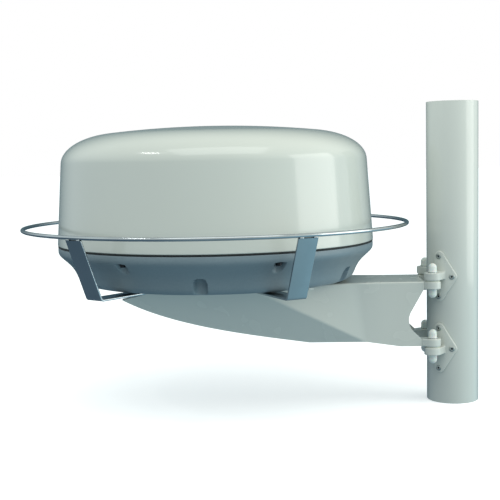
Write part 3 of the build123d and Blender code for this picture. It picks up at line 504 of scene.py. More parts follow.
def rubber(name, colour):
    """Moulded rubber: matt, with talc in its grain."""
    made = Finish(name, 0.62)
    talc = made.spread(made.noise(500.0, 6.0), 0.0, 0.4, 0.5, 0.75)
    made.colour(made.blend(talc, colour, shaded(colour, 2.6)))
    made.roughness(made.spread(made.noise(70.0, 4.0), 0.52, 0.72))
    made.bump((made.noise(900.0, 4.0), 0.3, 0.05))
    return made.material


def circuit_board(name):
    """Green lacquer over copper tracks, with tinned pads on a fine grid."""
    made = Finish(name, 0.3, Coat_Weight=0.6, Coat_Roughness=0.12)
    bricks = made.node("ShaderNodeTexBrick", offset=0.37, squash=0.7)
    bricks.inputs["Scale"].default_value = 120.0
    bricks.inputs["Mortar Size"].default_value = 0.055
    bricks.inputs["Color1"].default_value = (0.0, 0.0, 0.0, 1.0)
    bricks.inputs["Color2"].default_value = (0.0, 0.0, 0.0, 1.0)
    bricks.inputs["Mortar"].default_value = (1.0, 1.0, 1.0, 1.0)
    made.link(made.place, bricks.inputs["Vector"])
    tracks = bricks.outputs["Fac"]
    lacquer = made.blend(
        made.spread(made.noise(30.0), 0.0, 1.0), srgb(18, 74, 44), srgb(26, 92, 54)
    )
    copper = made.blend(tracks, lacquer, srgb(58, 128, 70))
    pads = made.spread(made.cells(260.0), 1.0, 0.0, 0.1, 0.16)
    made.colour(made.blend(pads, copper, srgb(190, 190, 180)))
    made.bump((tracks, 0.3, 0.05), (pads, 0.4, 0.1))
    return made.material


def glass_fibre(name, colour):
    """A thin window of glass fibre: its weave shows through a satin surface."""
    made = Finish(name, 0.38, Subsurface_Weight=0.08)
    weave = made.node("ShaderNodeTexWave", bands_direction="Y")
    weave.inputs["Scale"].default_value = 180.0
    made.link(made.place, weave.inputs["Vector"])
    cross = made.node("ShaderNodeTexWave", bands_direction="Z")
    cross.inputs["Scale"].default_value = 180.0
    made.link(made.place, cross.inputs["Vector"])
    both = made.node("ShaderNodeMath", operation="MULTIPLY")
    made.link(weave.outputs["Fac"], both.inputs[0])
    made.link(cross.outputs["Fac"], both.inputs[1])
    threads = both.outputs[0]
    made.colour(made.blend(threads, shaded(colour, 0.86), shaded(colour, 1.06)))
    made.roughness(made.spread(made.noise(50.0), 0.32, 0.46))
    made.bump((threads, 0.25, 0.06))
    return made.material


PAINT = srgb(212, 215, 208)
STEEL = srgb(184, 189, 192)
FINISHES = {
    "mast_paint": gloss_paint("mast_paint", PAINT, 0.20, 300.0, 0.5),
    "bracket_paint": gloss_paint("bracket_paint", PAINT, 0.26, 420.0, 0.35),
    "foot_paint": cast_paint("foot_paint", shaded(PAINT, 0.98)),
    "polished_steel": bright_metal("polished_steel", STEEL, 0.10, (1.0, 1.0, 0.04)),
    "rivet_steel": bright_metal("rivet_steel", srgb(176, 182, 178), 0.34, (1.0, 1.0, 0.3)),
    "hardware_steel": bright_metal("hardware_steel", srgb(178, 180, 180), 0.24, (1.0, 1.0, 0.2)),
    "black_oxide": cast_metal("black_oxide", srgb(44, 46, 50), 0.42, grain=1500.0),
    "cap_plastic": moulded(
        "cap_plastic", srgb(232, 236, 230), 0.36, Subsurface_Weight=0.15, Subsurface_Scale=0.002
    ),
    "nylon": moulded("nylon", srgb(214, 214, 200), 0.42, Subsurface_Weight=0.1),
    "cover_plastic": gloss_paint("cover_plastic", srgb(210, 213, 205), 0.17, 260.0, 0.6),
    "base_plastic": moulded("base_plastic", srgb(126, 142, 150), 0.36, grain=900.0, depth=0.05),
    "seal_rubber": rubber("seal_rubber", srgb(22, 24, 26)),
    "brass": bright_metal("brass", srgb(206, 172, 96), 0.26, (1.0, 1.0, 0.3)),
    "gland_plastic": moulded("gland_plastic", srgb(34, 36, 38), 0.48, depth=0.05),
    "chassis_alloy": bright_metal("chassis_alloy", srgb(186, 190, 192), 0.32, (0.03, 1.0, 1.0)),
    "cast_alloy": cast_metal("cast_alloy", srgb(168, 170, 172), 0.46),
    "bearing_steel": turned_metal("bearing_steel", srgb(200, 203, 206), 0.14),
    "spindle_steel": turned_metal("spindle_steel", srgb(176, 180, 184), 0.24),
    "board_green": circuit_board("board_green"),
    "component_plastic": moulded("component_plastic", srgb(30, 31, 34), 0.4, depth=0.03),
    "shield_tin": bright_metal("shield_tin", srgb(196, 198, 196), 0.30, (1.0, 0.05, 1.0)),
    "magnet_dark": cast_metal("magnet_dark", srgb(60, 60, 64), 0.42, grain=1200.0),
    "magnetron_copper": bright_metal("magnetron_copper", srgb(190, 118, 84), 0.28, (1.0, 1.0, 0.1)),
    "motor_black": cast_paint("motor_black", srgb(34, 36, 40)),
    "gear_acetal": moulded("gear_acetal", srgb(226, 222, 204), 0.34, Subsurface_Weight=0.12),
    "window_plastic": glass_fibre("window_plastic", srgb(206, 196, 168)),
}


# -------- radome

def spans_round(centres, half_widths, base_steps):
    """Azimuths for a lathe: even steps, with close ones where pockets and bosses turn."""
    found = {round(360.0 * i / base_steps, 3) for i in range(base_steps)}
    near = [0.0, 0.25, 0.5, 0.7, 0.82, 0.9, 0.95, 0.98, 1.0, 1.03, 1.08, 1.15]
    for centre, half in zip(centres, half_widths):
        found = {a for a in found if abs((a - centre + 180) % 360 - 180) > half * 1.2}
        for share in near:
            for sign in (-1, 1):
                found.add(round((centre + sign * half * share) % 360, 3))
    return sorted(found)


def ease(value, low, high):
    """A smooth step from 0 at low to 1 at high."""
    t = min(1.0, max(0.0, (value - low) / (high - low)))
    return t * t * (3 - 2 * t)


def pocket_warp(spots):
    """How a lathe's radius is pulled in round each spot of (azimuth, circle, reach), where
    reach gives the spot's own radius at a height, down to nothing over its ceiling."""

    def warp(radius, height, azimuth):
        pulled = radius
        for centre, circle, reach_of in spots:
            turn = (azimuth - centre + 180) % 360 - 180
            if abs(turn) > 12:
                continue
            reach = reach_of(height)
            across = radius * sin(radians(turn))
            if reach <= 0 or abs(across) >= reach + SOFT:
                continue
            inside = ease(reach + SOFT - abs(across), 0, 2 * SOFT)
            floor = circle * cos(radians(turn)) - sqrt(max(0.0, reach**2 - across**2))
            pulled = min(pulled, radius - max(0.0, radius - floor) * inside)
        return pulled

    return warp


def flat_top(radius, ceiling):
    """A round pocket with a flat ceiling."""
    return lambda height: radius * (1 - ease(height, ceiling - SOFT, ceiling + SOFT))


def domed_top(radius, spring):
    """A round pocket with a half sphere over the height where its walls end."""
    return lambda height: sqrt(max(0.0, radius**2 - max(0.0, height - spring) ** 2))


def base_section(inset):
    """The pan's outer or inner half section, from its floor's middle to its rim."""
    rim = COVER_R - 0.5 - inset
    low = BASE_LOW + inset
    drop = inset / 2
    curve = bezier(((208 - inset, low), (221 - inset, low), (226.5 - inset, 9.2 + drop),
                    (229.5 - inset, 17 + drop)), 10)
    flank = bezier(((229.5 - inset, 17 + drop), (236 - inset, 34 + drop),
                    (243 - inset, 39 + drop), (rim, 54 + drop)), 26)
    return [(0, low), (90, low), (150, low), (190, low)] + curve[:-1] + flank


def fine_rows(section, *heights):
    """Adds rows to a section round some heights, so that a ceiling there stays crisp."""
    steps = [s * SOFT for s in (-1.6, -1.0, -0.6, -0.3, 0.0, 0.3, 0.6, 1.0, 1.6)]
    wanted = sorted(h + s for h in heights for s in steps)
    made = [section[0]]
    for (r0, h0), (r1, h1) in zip(section, section[1:]):
        for h in wanted:
            if h0 < h < h1:
                made.append((r0 + (r1 - r0) * (h - h0) / (h1 - h0), h))
        made.append((r1, h1))
    return made


def half_angles(radius, circle):
    """The half angle that each of six round pockets takes up about the dome axis."""
    return [degrees(asin(radius / circle))] * 6


def radome_base():
    """The lower pan, with a pocket over each clamp screw and each lifting recess."""
    spots = [(a, CLAMP_CIRCLE, flat_top(CLAMP_R, CLAMP_CEILING)) for a in CLAMPS]
    spots += [(a, POCKET_CIRCLE, domed_top(POCKET_R, POCKET_DOME)) for a in POCKETS]
    inner_spots = [(a, CLAMP_CIRCLE, lambda h: CLAMP_R + 3) for a in CLAMPS]
    inner_spots += [(a, POCKET_CIRCLE, domed_top(POCKET_R + 3, POCKET_DOME)) for a in POCKETS]
    rim = COVER_R - 0.5
    shell = base_section(0)
    # the corner under the rim is a long soft round
    turn = bezier((shell[-5], shell[-2], (rim, 54.5), (rim, 60.0)), 10)
    outer = fine_rows(shell[:-5] + turn, POCKET_DOME + 4.5, POCKET_DOME + 6.5, CLAMP_CEILING)
    outer += [(rim, 61), (rim, RIM_TOP - 1.2)]
    outer += arc((rim - 1.2, RIM_TOP - 1.2), 1.2, 0, 90, 4)[1:]
    inner = fine_rows(base_section(WALL), POCKET_DOME + 10)[::-1]
    flange = [(COVER_R - 14, RIM_TOP), (COVER_R - 14, RIM_TOP - 5), (rim - WALL, RIM_TOP - 5)]
    warp_of = {}
    for part, part_warp in (
        (outer, pocket_warp(spots)), (flange, None), (inner, pocket_warp(inner_spots))
    ):
        for radius, height in part:
            warp_of[(round(radius, 4), round(height, 4))] = part_warp

    def warp(radius, height, azimuth):
        part_warp = warp_of[(round(radius, 4), round(height, 4))]
        return part_warp(radius, height, azimuth) if part_warp else radius

    half = half_angles(CLAMP_R + 2, CLAMP_CIRCLE) + half_angles(POCKET_R + 2, POCKET_CIRCLE)
    spans = spans_round(CLAMPS + POCKETS, half, 220)
    bm = bmesh.new()
    lathe(bm, outer + flange + inner, deck(0, 0, 0), 0, closed=False, spans=spans, warp=warp)
    return place(finish_mesh(bm, "radome_pan", 40), "mount", "base_plastic", "radome_base")


def pan_pads():
    """Four low pads under the pan that stand on the guard's hub plate."""
    bm = bmesh.new()
    profile = [(0.0, BAR_THICK), (14.6, BAR_THICK), (15.0, BAR_THICK + 0.4), (15.0, 5.0),
               (0.0, 5.0)]
    for x in (-BOLT_SPREAD, BOLT_SPREAD):
        for y in (-BOLT_SPREAD, BOLT_SPREAD):
            lathe(bm, profile, deck(x, y, 0.0), 48, closed=False)
    return place(finish_mesh(bm, "pan_pads"), "mount", "base_plastic", "radome_base")


def cover_section(inset):
    """The cover's outer or inner half section, from its foot to the middle of its crown."""
    radius, edge = CROWN_R - inset, CROWN_EDGE - inset
    corner = (edge, COVER_TOP - CROWN_R + sqrt(radius**2 - edge**2))
    wall_r, wall_h = COVER_WALL_TOP
    wall = straight((COVER_R - inset, COVER_LOW + 1.6), (wall_r - inset, wall_h), 18)
    bend = bezier(((wall_r - inset, wall_h), (249.3 - inset, 225 - inset / 2),
                   (215 - inset, 243 - inset), corner), 40)
    start = degrees(acos(edge / radius))
    crown = arc((0, COVER_TOP - CROWN_R), radius, start, 90, 24)[1:]
    crown[-1] = (0, crown[-1][1])
    return wall + bend + crown


def radome_cover():
    """The domed cover, a moulded shell with a lip at its foot and six bosses inside."""
    boss_top = COVER_LOW + BOSS_RISE
    lip = arc((COVER_R - 1.4, COVER_LOW + 1.4), 1.4, -90, 0, 4)
    inner = fine_rows(cover_section(WALL), boss_top)[::-1] + [(COVER_R - WALL, COVER_LOW)]
    boss_warp = pocket_warp([(a, CLAMP_CIRCLE, flat_top(BOSS_R, boss_top)) for a in CLAMPS])
    inner_keys = {(round(r, 4), round(h, 4)) for r, h in inner}

    def warp(radius, height, azimuth):
        if (round(radius, 4), round(height, 4)) in inner_keys:
            return boss_warp(radius, height, azimuth)
        return radius

    spans = spans_round(CLAMPS, half_angles(10.0, CLAMP_CIRCLE), 288)
    bm = bmesh.new()
    lathe(bm, lip + cover_section(0) + inner, deck(0, 0, 0), 0, spans=spans, warp=warp)
    return place(finish_mesh(bm, "radome_shell", 50), "cover", "cover_plastic", "radome_cover")


def gasket():
    """The rubber seal between pan and cover, with a round outer edge."""
    low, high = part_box("radome_gasket")
    bottom, top = height_mm(low.z), height_mm(high.z)
    outer = (high.x - low.x) / MM / 2
    half = (top - bottom) / 2
    profile = arc((outer - half, bottom + half), half, -90, 90, 8)
    profile += [(outer - 6, top), (outer - 6, bottom)]
    bm = bmesh.new()
    lathe(bm, profile, deck(0, 0, 0), 288)
    return place(finish_mesh(bm, "rim_gasket"), "mount", "seal_rubber", "radome_gasket")


# -------- guard

LEGS = {
    "near_left": -LEG_SPREAD + GUARD_TURN,
    "near_right": LEG_SPREAD + GUARD_TURN,
    "far_right": 180 - LEG_SPREAD + GUARD_TURN,
    "far_left": 180 + LEG_SPREAD + GUARD_TURN,
}


def guard_ring():
    """The round rod of the guard."""
    bm = bmesh.new()
    lathe(bm, arc((RING_R, RING_H), ROD_R, 0, 345, 23), deck(0, 0, 0), 384)
    return place(finish_mesh(bm, "guard_rod"), "mount", "polished_steel", "guard_ring")


def leg_axes(azimuth):
    """The directions along and across a leg, seen from above."""
    out = Vector((*around(azimuth, 1.0), 0.0))
    return out, Vector((-out.y, out.x, 0.0))


def guard_leg(name, azimuth):
    """A flat bar that runs out from the hub, bends up and meets the rod."""
    out, side = leg_axes(azimuth)
    bend_r = 5.0
    corner = Vector((FOOT_R, BAR_THICK / 2))
    start = Vector((HUB_R + 0.2, BAR_THICK / 2))
    end = Vector((RING_R - 0.3, RING_H - ROD_R - 0.6))
    rise = (end - corner).normalized()
    turn = atan2(rise.y, rise.x)
    reach = bend_r * sin(turn / 2) / cos(turn / 2)
    centre = (corner.x - reach, corner.y + bend_r)
    bend = arc(centre, bend_r, -90, -90 + degrees(turn), 10)
    path_2d = [tuple(start), *bend, tuple(end)]
    path = [deck(out.x * r, out.y * r, h) for r, h in path_2d]
    bm = bmesh.new()
    sweep(bm, path, rounded_bar(BAR_WIDTH, BAR_THICK, 0.7), side)
    return place(
        finish_mesh(bm, f"guard_bar_{name}"), "mount", "polished_steel", f"guard_leg_{name}"
    )


def weld_beads():
    """Short rippled weld beads where each leg meets the rod."""
    steps, sides = 12, 10
    bm = bmesh.new()
    for azimuth in LEGS.values():
        out, side = leg_axes(azimuth)
        for across in (-11.0, 11.0):
            for off in (-2.6, 1.4):
                rings = []
                for i in range(steps + 1):
                    t = i / steps
                    along = across + (t - 0.5) * 7.0
                    size = 1.5 * sqrt(max(0.02, 1 - (2 * t - 1) ** 4)) * (1 + 0.10 * sin(t * 40))
                    middle = deck(0, 0, RING_H - ROD_R - 0.4) + out * (RING_R + off) * MM
                    middle += side * along * MM
                    ring = []
                    for k in range(sides):
                        a = 2 * pi * k / sides
                        ring.append(bm.verts.new(
                            middle + (out * cos(a) + Vector((0, 0, sin(a)))) * size * MM
                        ))
                    rings.append(ring)
                for low, high in zip(rings, rings[1:]):
                    for k in range(sides):
                        j = (k + 1) % sides
                        bm.faces.new((low[k], low[j], high[j], high[k]))
                bm.faces.new(rings[0])
                bm.faces.new(rings[-1])
    return place(
        finish_mesh(bm, "guard_welds", 60), "mount", "polished_steel", "guard_weld_beads"
    )


# -------- bracket

def facet_point(x, down, side):
    """A point on the leaning facet, down from the deck's edge by a distance on the slant."""
    slant = hypot(KEEL_DROP, DECK_HALF - ARM_HALF)
    y = -DECK_HALF + down * (DECK_HALF - ARM_HALF) / slant
    return (x, y * side, -down * KEEL_DROP / slant)


def neck_bend(side):
    """Pairs of points, on the deck's edge and under it, between which the side sheet turns from
    the flank into the arm in one long soft bend; the feet run down the fold and on past KEEL."""
    shoulder = Vector((SHOULDER, -DECK_HALF * side, 0.0))
    neck = Vector((NECK, -ARM_HALF * side, 0.0))
    keel = Vector((KEEL, -ARM_HALF * side, -KEEL_DROP))
    heel = Vector((HEEL, -ARM_HALF * side, -HEEL_DROP))
    start, end = shoulder.lerp(neck, BEND_SHARE), neck + Vector((BEND_PAST, 0.0, 0.0))
    tops = bezier((start, start.lerp(neck, 0.66), end.lerp(neck, 0.66), end), BEND_STEPS)
    past = BEND_STEPS - FOLD_STEPS
    feet = [shoulder.lerp(keel, BEND_SHARE + (1 - BEND_SHARE) * i / FOLD_STEPS)
            for i in range(FOLD_STEPS)]
    feet += [keel.lerp(heel, i / past) for i in range(past + 1)]
    return tops, [tuple(foot) for foot in feet]


def bracket_shell():
    """The bracket: one folded sheet with round folds, slotted for the cable."""
    slant = hypot(KEEL_DROP, DECK_HALF - ARM_HALF)
    bm = bmesh.new()
    known = {}

    def corner(x, y, h):
        key = (round(x, 3), round(y, 3), round(h, 3))
        if key not in known:
            known[key] = bm.verts.new(deck(x, y, h))
        return known[key]

    half = [(NOSE, DECK_CORNER - DECK_HALF), (NOSE + DECK_CORNER, -DECK_HALF),
            (FLANK_START, -DECK_HALF), (SHOULDER, -DECK_HALF),
            *[(x, y) for x, y, h in neck_bend(1)[0]], (ARM_END, -ARM_HALF)]
    outline = half + [(x, -y) for x, y in reversed(half)]
    bm.faces.new([corner(x, y, 0.0) for x, y in outline])
    for side in (1, -1):
        edge = bezier((*FACET_EDGE, (FACET_END, slant)), 28)
        shoulder = (SHOULDER, -DECK_HALF * side, 0.0)
        tops, feet = neck_bend(side)
        facet = [(FLANK_START, -DECK_HALF * side, 0.0), shoulder, *feet[:FOLD_STEPS + 1]]
        facet += [facet_point(x, down, side) for x, down in reversed(edge)]
        faces = [facet, [shoulder, tops[0], feet[0]]]
        for (top, foot), (next_top, next_foot) in zip(zip(tops, feet), zip(tops[1:], feet[1:])):
            faces.append([top, next_top, next_foot, foot])
        arm = [(ARM_END, 0.0), (ARM_END, EAR_LEVELS[0]), *notch_curve(), (EAR_END, EAR_LEVELS[1]),
               (EAR_END, -HEEL_DROP)]
        faces.append([tops[-1], *[(x, -ARM_HALF * side, h) for x, h in arm], feet[-1]])
        for points in faces:
            bm.faces.new([corner(*p) for p in points])
    bmesh.ops.recalc_face_normals(bm, faces=bm.faces)
    deck_face = max(bm.faces, key=lambda f: f.calc_area())
    if deck_face.normal.z < 0:
        bmesh.ops.reverse_faces(bm, faces=bm.faces)
    folds = [e for e in bm.edges if len(e.link_faces) == 2 and e.calc_face_angle(0.0) > 0.3]
    bmesh.ops.bevel(bm, geom=folds, offset=2.4 * MM, segments=4, affect="EDGES", profile=0.5,
                    clamp_overlap=False)
    mesh = bpy.data.meshes.new("bracket_sheet")
    bm.to_mesh(mesh)
    bm.free()
    piece = bpy.data.objects.new("bracket_sheet", mesh)
    bpy.context.scene.collection.objects.link(piece)
    thicken = piece.modifiers.new("sheet", "SOLIDIFY")
    thicken.thickness = SHEET * MM
    thicken.offset = -1.0
    thicken.use_even_offset = True
    thicken.use_quality_normals = True
    apply_modifiers(piece)
    cutter = deck_cutter()
    cut = piece.modifiers.new("holes", "BOOLEAN")
    cut.operation = "DIFFERENCE"
    cut.solver = "EXACT"
    cut.object = cutter
    edges = piece.modifiers.new("edges", "BEVEL")
    edges.width = 0.5 * MM
    edges.segments = 2
    edges.limit_method = "ANGLE"
    edges.angle_limit = radians(50)
    apply_modifiers(piece)
    bpy.data.objects.remove(cutter)
    piece.data.shade_smooth()
    piece.data.set_sharp_from_angle(angle=radians(32))
    # large flats keep their own shading; only the folds and edges turn
    weigh = piece.modifiers.new("normals", "WEIGHTED_NORMAL")
    weigh.keep_sharp = True
    weigh.weight = 80
    apply_modifiers(piece)
    return place(piece, "mount", "bracket_paint",
                 "bracket_top_plate", "bracket_side_near", "bracket_side_far")


def notch_curve():
    """The end of the arm's side, from the upper ear round the notch to the lower ear."""
    a, b, c = Vector((316.5, -50)), Vector((313.8, -65)), Vector((320, -80))
    # circle through three points
    ab, ac = b - a, c - a
    cross = 2 * (ab.x * ac.y - ab.y * ac.x)
    ux = (ac.y * ab.length_squared - ab.y * ac.length_squared) / cross
    uy = (ab.x * ac.length_squared - ac.x * ab.length_squared) / cross
    centre = Vector((a.x + ux, a.y + uy))
    radius = (a - centre).length
    start = degrees(atan2(a.y - centre.y, a.x - centre.x)) % 360
    end = degrees(atan2(c.y - centre.y, c.x - centre.x)) % 360
    return arc(tuple(centre), radius, start, end, 12)


def deck_wings():
    """The ends of the deck, which run out past the bent sides and stop in a cut corner."""
    bm = bmesh.new()
    cut = DECK_CORNER / 2
    for side in (1, -1):
        outline = [(SHOULDER, -DECK_HALF + 7), (SHOULDER, -DECK_HALF), (DECK_END - cut, -DECK_HALF),
                   (DECK_END, -DECK_HALF + cut), (DECK_END, -63.0)]
        low = [bm.verts.new(deck(x, y * side, -SHEET)) for x, y in outline]
        high = [bm.verts.new(deck(x, y * side, -0.12)) for x, y in outline]
        bm.faces.new(low)
        bm.faces.new(high)
        for i in range(len(outline)):
            j = (i + 1) % len(outline)
            bm.faces.new((low[i], low[j], high[j], high[i]))
    bmesh.ops.recalc_face_normals(bm, faces=bm.faces)
    bmesh.ops.bevel(bm, geom=list(bm.edges), offset=0.5 * MM, segments=2, affect="EDGES",
                    profile=0.5, clamp_overlap=True)
    return place(finish_mesh(bm, "bracket_wings"), "mount", "bracket_paint", "bracket_top_plate")


def deck_cutter():
    """What is cut from the deck: four bolt holes, the middle hole and the cable slot."""
    bm = bmesh.new()
    holes = [((x * BOLT_SPREAD, y * BOLT_SPREAD), BOLT_HOLE_R, 24, 0.0)
             for x in (-1, 1) for y in (-1, 1)]
    holes += [((0.0, 0.0), HUB_HOLE_R, 64, 0.0), ((SLOT_X, 0.0), SLOT_R, 48, SLOT_STRETCH)]
    for (x, y), radius, steps, stretch in holes:
        rings = []
        for h in (-SHEET - 4.0, 4.0):
            ring = []
            for i in range(steps):
                a = 2 * pi * (i + 0.5) / steps
                shift = stretch / 2 * (1 if cos(a) > 0 else -1)
                ring.append(bm.verts.new(
                    deck(x + radius * cos(a) + shift, y + radius * sin(a), h)
                ))
            rings.append(ring)
        for i in range(steps):
            j = (i + 1) % steps
            bm.faces.new((rings[0][i], rings[0][j], rings[1][j], rings[1][i]))
        bm.faces.new(list(reversed(rings[0])))
        bm.faces.new(rings[1])
    return finish_mesh(bm, "deck_cutter")


# -------- mast and hinges

def mast():
    """The length of mast: a tube with turned ends."""
    r, inner, e = MAST_R, MAST_R - MAST_WALL, 0.5
    profile = arc((r - e, e), e, -90, 0, 3)
    profile += arc((r - e, MAST_TOP - e), e, 0, 90, 3)
    profile += arc((inner + e, MAST_TOP - e), e, 90, 180, 3)
    profile += arc((inner + e, e), e, 180, 270, 3)
    bm = bmesh.new()
    lathe(bm, profile, Vector((0, 0, 0)), 192)
    return place(finish_mesh(bm, "mast_tube", 60), "mount", "mast_paint", "mast_section")


def rivets():
    """The blind rivets' heads, a low dome with a hollow centre, on the mast feet, and in each hollow a dark disc
    of painted shade that stands in for the hollow's depth.
    """
    heads, hollow_shades = bmesh.new(), bmesh.new()
    for centre in FOOT_CENTRES:
        for side in (-1, 1):
            for angle, rise in RIVET_SPOTS:
                a = radians(angle)
                out = Vector((sin(a), side * cos(a), 0.0))
                turn = out.to_track_quat("Z", "Y").to_matrix().to_4x4()
                spot = out * (FOOT_FACE_R * MM) + Vector((0, 0, (centre + rise) * MM))
                stand = Matrix.Translation(spot) @ turn
                for bm, profile in (
                    (heads, [(4.7, -0.6), (4.75, 0.35), (4.5, 0.8), (3.7, 1.25), (2.7, 1.5),
                             (1.9, 1.5), (1.55, 1.2), (1.45, -0.4)]),
                    # a dark disc low in each hollow: painted shade for the depth of the hole
                    (hollow_shades, [(1.5, -0.5), (1.5, 0.25), (0.6, 0.1), (0.0, 0.1)]),
                ):
                    part = bmesh.new()
                    lathe(part, profile, Vector((0, 0, 0)), 28, closed=bm is heads)
                    bmesh.ops.transform(part, matrix=stand, verts=part.verts)
                    mesh = bpy.data.meshes.new("rivet")
                    part.to_mesh(mesh)
                    part.free()
                    bm.from_mesh(mesh)
                    bpy.data.meshes.remove(mesh)
    place(finish_mesh(heads, "rivet_heads", 50), "mount", "rivet_steel", "foot_rivets")
    # the discs take the black_oxide finish as painted shade deep in each hollow, not as a coat on the rivet
    place(finish_mesh(hollow_shades, "rivet_hollow_shades", 50), "mount", "black_oxide", "foot_rivets")


def caps():
    """The domed caps over both ends of each hinge bolt, each with a low ring at its foot."""
    dome_r = CAP_R - 0.4
    straight_h = CAP_HEIGHT - dome_r
    inner = dome_r - 0.9
    profile = [(inner, 0.0), (CAP_R, 0.0), (CAP_R, 0.9), (dome_r + 0.1, 1.5), (dome_r, 1.9)]
    profile += arc((0, straight_h), dome_r, 0, 90, 14)
    profile[-1] = (0.0, CAP_HEIGHT)
    hollow = arc((0, straight_h), inner, 90, 0, 8)
    hollow[0] = (0.0, straight_h + inner)
    upper, lower = FOOT_CENTRES
    bolt_spans = (
        (DECK / MM + EAR_LEVELS[0], upper + LUG_OFFSET + LUG_HALF),
        (lower - LUG_OFFSET - LUG_HALF, DECK / MM + EAR_LEVELS[1]),
    )
    bm = bmesh.new()
    for side in (-1, 1):
        for low, high in bolt_spans:
            for start, direction in ((low - CAP_WASHER, -1), (high + CAP_WASHER, 1)):
                turned = [(r, h * direction) for r, h in profile + hollow]
                foot = Vector((HINGE_X, side * HINGE_Y, start)) * MM
                lathe(bm, turned, foot, 40)
    return place(finish_mesh(bm, "hinge_caps", 50), "mount", "cap_plastic", "bolt_caps")


# -------- the whole object

radome_base()
pan_pads()
radome_cover()
gasket()
guard_ring()
for leg_name, leg_azimuth in LEGS.items():
    guard_leg(leg_name, leg_azimuth)
weld_beads()
bracket_shell()
deck_wings()
mast()
caps()
rivets()

for level in ("upper", "lower"):
    for side_name in ("near", "far"):
        node = f"foot_{level}_{side_name}"
        place(cast(node, f"mast_foot_{level}_{side_name}"), "mount", "foot_paint", node)
        node = f"bracket_ear_{level}_{side_name}"
        place(cast(node, f"bracket_lug_{level}_{side_name}"), "mount", "bracket_paint", node)

# machined, pressed and moulded pieces keep the CAD shape, with their edges broken
BODY_OF = {
    node: body for body, nodes in frame["record"]["behaviour"]["bodies"].items() for node in nodes
}
BROKEN_EDGES = {
    "guard_hub_plate": 0.5, "hinge_nuts": 0.35, "hinge_bolts": 0.3, "fixing_bolts": 0.4,
    "cable_gland": 0.4, "gland_cap_nut": 0.5, "gland_lock_nut": 0.4, "transceiver_case": 0.6,
    "magnetron": 0.4, "receiver_module": 0.4, "drive_motor": 0.5, "motor_bracket": 0.4,
    "chassis_plate": 0.4, "bearing_housing": 0.6, "standoffs": 0.3, "board_components": 0.4,
    "array_channel": 0.4, "array_window": 0.6, "array_carrier": 0.4, "spindle": 0.3,
}
for node, width in BROKEN_EDGES.items():
    slot = frame["nodes"][node].data.materials[0].name
    place(eased(node, f"{node}_eased", width), BODY_OF[node], slot, node)

shown_for = {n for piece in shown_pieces() for n in piece.get("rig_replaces", [])}
for node, source in frame["nodes"].items():
    if node in shown_for:
        continue
    slot = source.data.materials[0].name
    source.data.materials.clear()
    source.data.materials.append(FINISHES[slot])


# -------- stage

def floor():
    """A pale floor under the object, level with the mast's lower end."""
    bm = bmesh.new()
    lathe(bm, [(0, 0), (4000, 0), (30000, 0)], Vector((-0.25, 0, 0)), 96, closed=False)
    made = finish_mesh(bm, "floor")
    pale = srgb(246, 247, 248)
    surface = Finish("floor_board", 0.8, Emission_Color=(*pale, 1.0), Emission_Strength=0.5)
    surface.colour(surface.blend(surface.noise(3.0), shaded(pale, 0.99), pale))
    made.data.materials.append(surface.material)
    # the board shows the object's shadow; the light from below is the backdrop's
    made.visible_diffuse = False
    made.visible_glossy = False
    made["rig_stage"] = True


# light that comes from each height, side and depth: (position, colour), -1..1 as 0..1
WORLD_RISE = (
    (0.0, (0.24, 0.34, 0.38)), (0.41, (0.32, 0.43, 0.48)), (0.50, (0.60, 0.65, 0.65)),
    (0.72, (0.78, 0.82, 0.79)), (1.0, (0.70, 0.75, 0.72)),
)
WORLD_ACROSS = (
    (0.0, (1.20, 1.25, 1.28)), (0.3, (1.02, 1.04, 1.05)), (0.6, (1.0, 1.0, 1.0)),
    (1.0, (1.5, 1.48, 1.42)),
)
FLOOR_ACROSS = (
    (0.0, (0.34, 0.38, 0.44)), (0.25, (0.50, 0.56, 0.64)), (0.5, (0.96, 0.98, 1.0)),
    (1.0, (1.42, 1.72, 1.80)),
)
WORLD_DEPTH = ((0.0, (1.0, 1.0, 1.0)), (0.7, (0.95, 0.98, 1.0)), (1.0, (0.16, 0.24, 0.28)))


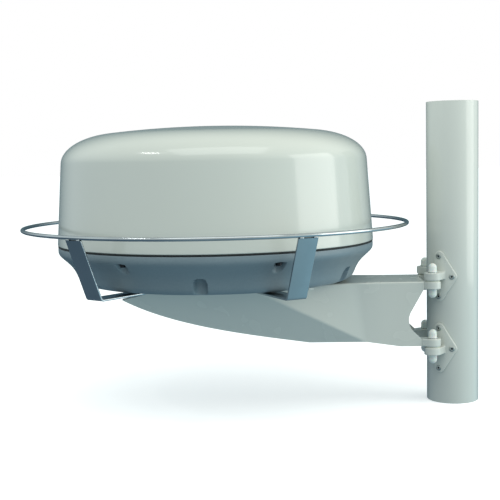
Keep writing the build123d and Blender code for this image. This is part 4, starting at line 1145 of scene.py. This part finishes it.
def backdrop():
    """Studio surroundings by direction: a pale ceiling, a cool floor and darker, blue sides."""
    world = bpy.data.worlds.new("studio")
    bpy.context.scene.world = world
    world.use_nodes = True
    nodes, links = world.node_tree.nodes, world.node_tree.links
    background = nodes["Background"]
    where = nodes.new("ShaderNodeTexCoord")
    split = nodes.new("ShaderNodeSeparateXYZ")
    links.new(where.outputs["Generated"], split.inputs[0])

    def ramp(source, low, high, *stops):
        """A colour ramp over a range of a direction's part."""
        scale = nodes.new("ShaderNodeMapRange")
        scale.inputs["From Min"].default_value = low
        scale.inputs["From Max"].default_value = high
        links.new(source, scale.inputs["Value"])
        made = nodes.new("ShaderNodeValToRGB")
        made.color_ramp.interpolation = "EASE"
        links.new(scale.outputs["Result"], made.inputs["Fac"])
        elements = made.color_ramp.elements
        elements[0].position, elements[0].color = stops[0][0], (*stops[0][1], 1)
        elements[1].position, elements[1].color = stops[-1][0], (*stops[-1][1], 1)
        for position, colour in stops[1:-1]:
            elements.new(position).color = (*colour, 1)
        return made.outputs["Color"]

    def mixed(factor, first, second, kind="MIX"):
        """Two colours mixed; each value is another node's output or is set directly."""
        made = nodes.new("ShaderNodeMix")
        made.data_type, made.blend_type = "RGBA", kind
        for index, value in ((0, factor), (6, first), (7, second)):
            if isinstance(value, bpy.types.NodeSocket):
                links.new(value, made.inputs[index])
            else:
                made.inputs[index].default_value = value
        return made.outputs[2]

    upright = ramp(split.outputs["Z"], -1.0, 1.0, *WORLD_RISE)
    above = ramp(split.outputs["X"], -1.0, 1.0, *WORLD_ACROSS)
    under = ramp(split.outputs["X"], -1.0, 1.0, *FLOOR_ACROSS)
    height = ramp(split.outputs["Z"], -0.25, 0.05, (0.0, (0, 0, 0)), (1.0, (1, 1, 1)))
    across = mixed(height, under, above)
    depth = ramp(split.outputs["Y"], -1.0, 1.0, *WORLD_DEPTH)
    lit = mixed(1.0, mixed(1.0, upright, across, "MULTIPLY"), depth, "MULTIPLY")
    seen = nodes.new("ShaderNodeLightPath").outputs["Is Camera Ray"]
    links.new(mixed(seen, lit, (1.0, 1.0, 1.0, 1.0)), background.inputs["Color"])


def softbox(name, azimuth, elevation, distance, size, power, colour):
    """A rectangular light round the dome, aimed at it; azimuth 0 is in front, 90 to the right."""
    aim = Vector((DOME.x, DOME.y, DECK + 0.1))
    a, e = radians(azimuth), radians(elevation)
    towards = Vector((sin(a) * cos(e), -cos(a) * cos(e), sin(e)))
    light = bpy.data.lights.new(name, "AREA")
    light.shape = "RECTANGLE"
    light.size, light.size_y = size
    light.energy = power
    light.color = colour
    made = bpy.data.objects.new(name, light)
    made.location = aim + towards * distance
    made.rotation_mode = "QUATERNION"
    made.rotation_quaternion = towards.to_track_quat("Z", "Y")
    made.visible_camera = False
    bpy.context.scene.collection.objects.link(made)


def camera():
    """The camera in front of the object, a little to its left and slightly turned down."""
    yaw, pitch, roll = radians(-2.84), radians(-5.18), radians(-1.14)
    forward = Vector((sin(yaw) * cos(pitch), cos(yaw) * cos(pitch), sin(pitch)))
    level_right = Vector((cos(yaw), -sin(yaw), 0.0))
    level_up = level_right.cross(forward)
    right = cos(roll) * level_right + sin(roll) * level_up
    up = -sin(roll) * level_right + cos(roll) * level_up
    data = bpy.data.cameras.new("camera")
    data.lens = 71.95
    data.sensor_width = 36.0
    made = bpy.data.objects.new("camera", data)
    turn = Matrix((right, up, -forward)).transposed().to_4x4()
    made.matrix_world = Matrix.Translation((-0.2525, -1.6599, 0.4044)) @ turn
    bpy.context.scene.collection.objects.link(made)
    bpy.context.scene.camera = made


floor()
backdrop()
softbox("window", 80, 10, 2.6, (1.7, 1.9), 20, (1.0, 0.99, 0.94))
softbox("ceiling", 10, 62, 2.6, (2.4, 1.6), 16, (0.96, 1.0, 0.98))
softbox("lamp", -54, 50, 2.4, (0.5, 0.12), 3, (1.0, 1.0, 0.98))
camera()
bpy.context.scene.view_settings.view_transform = "Standard"

bpy.context.view_layer.update()
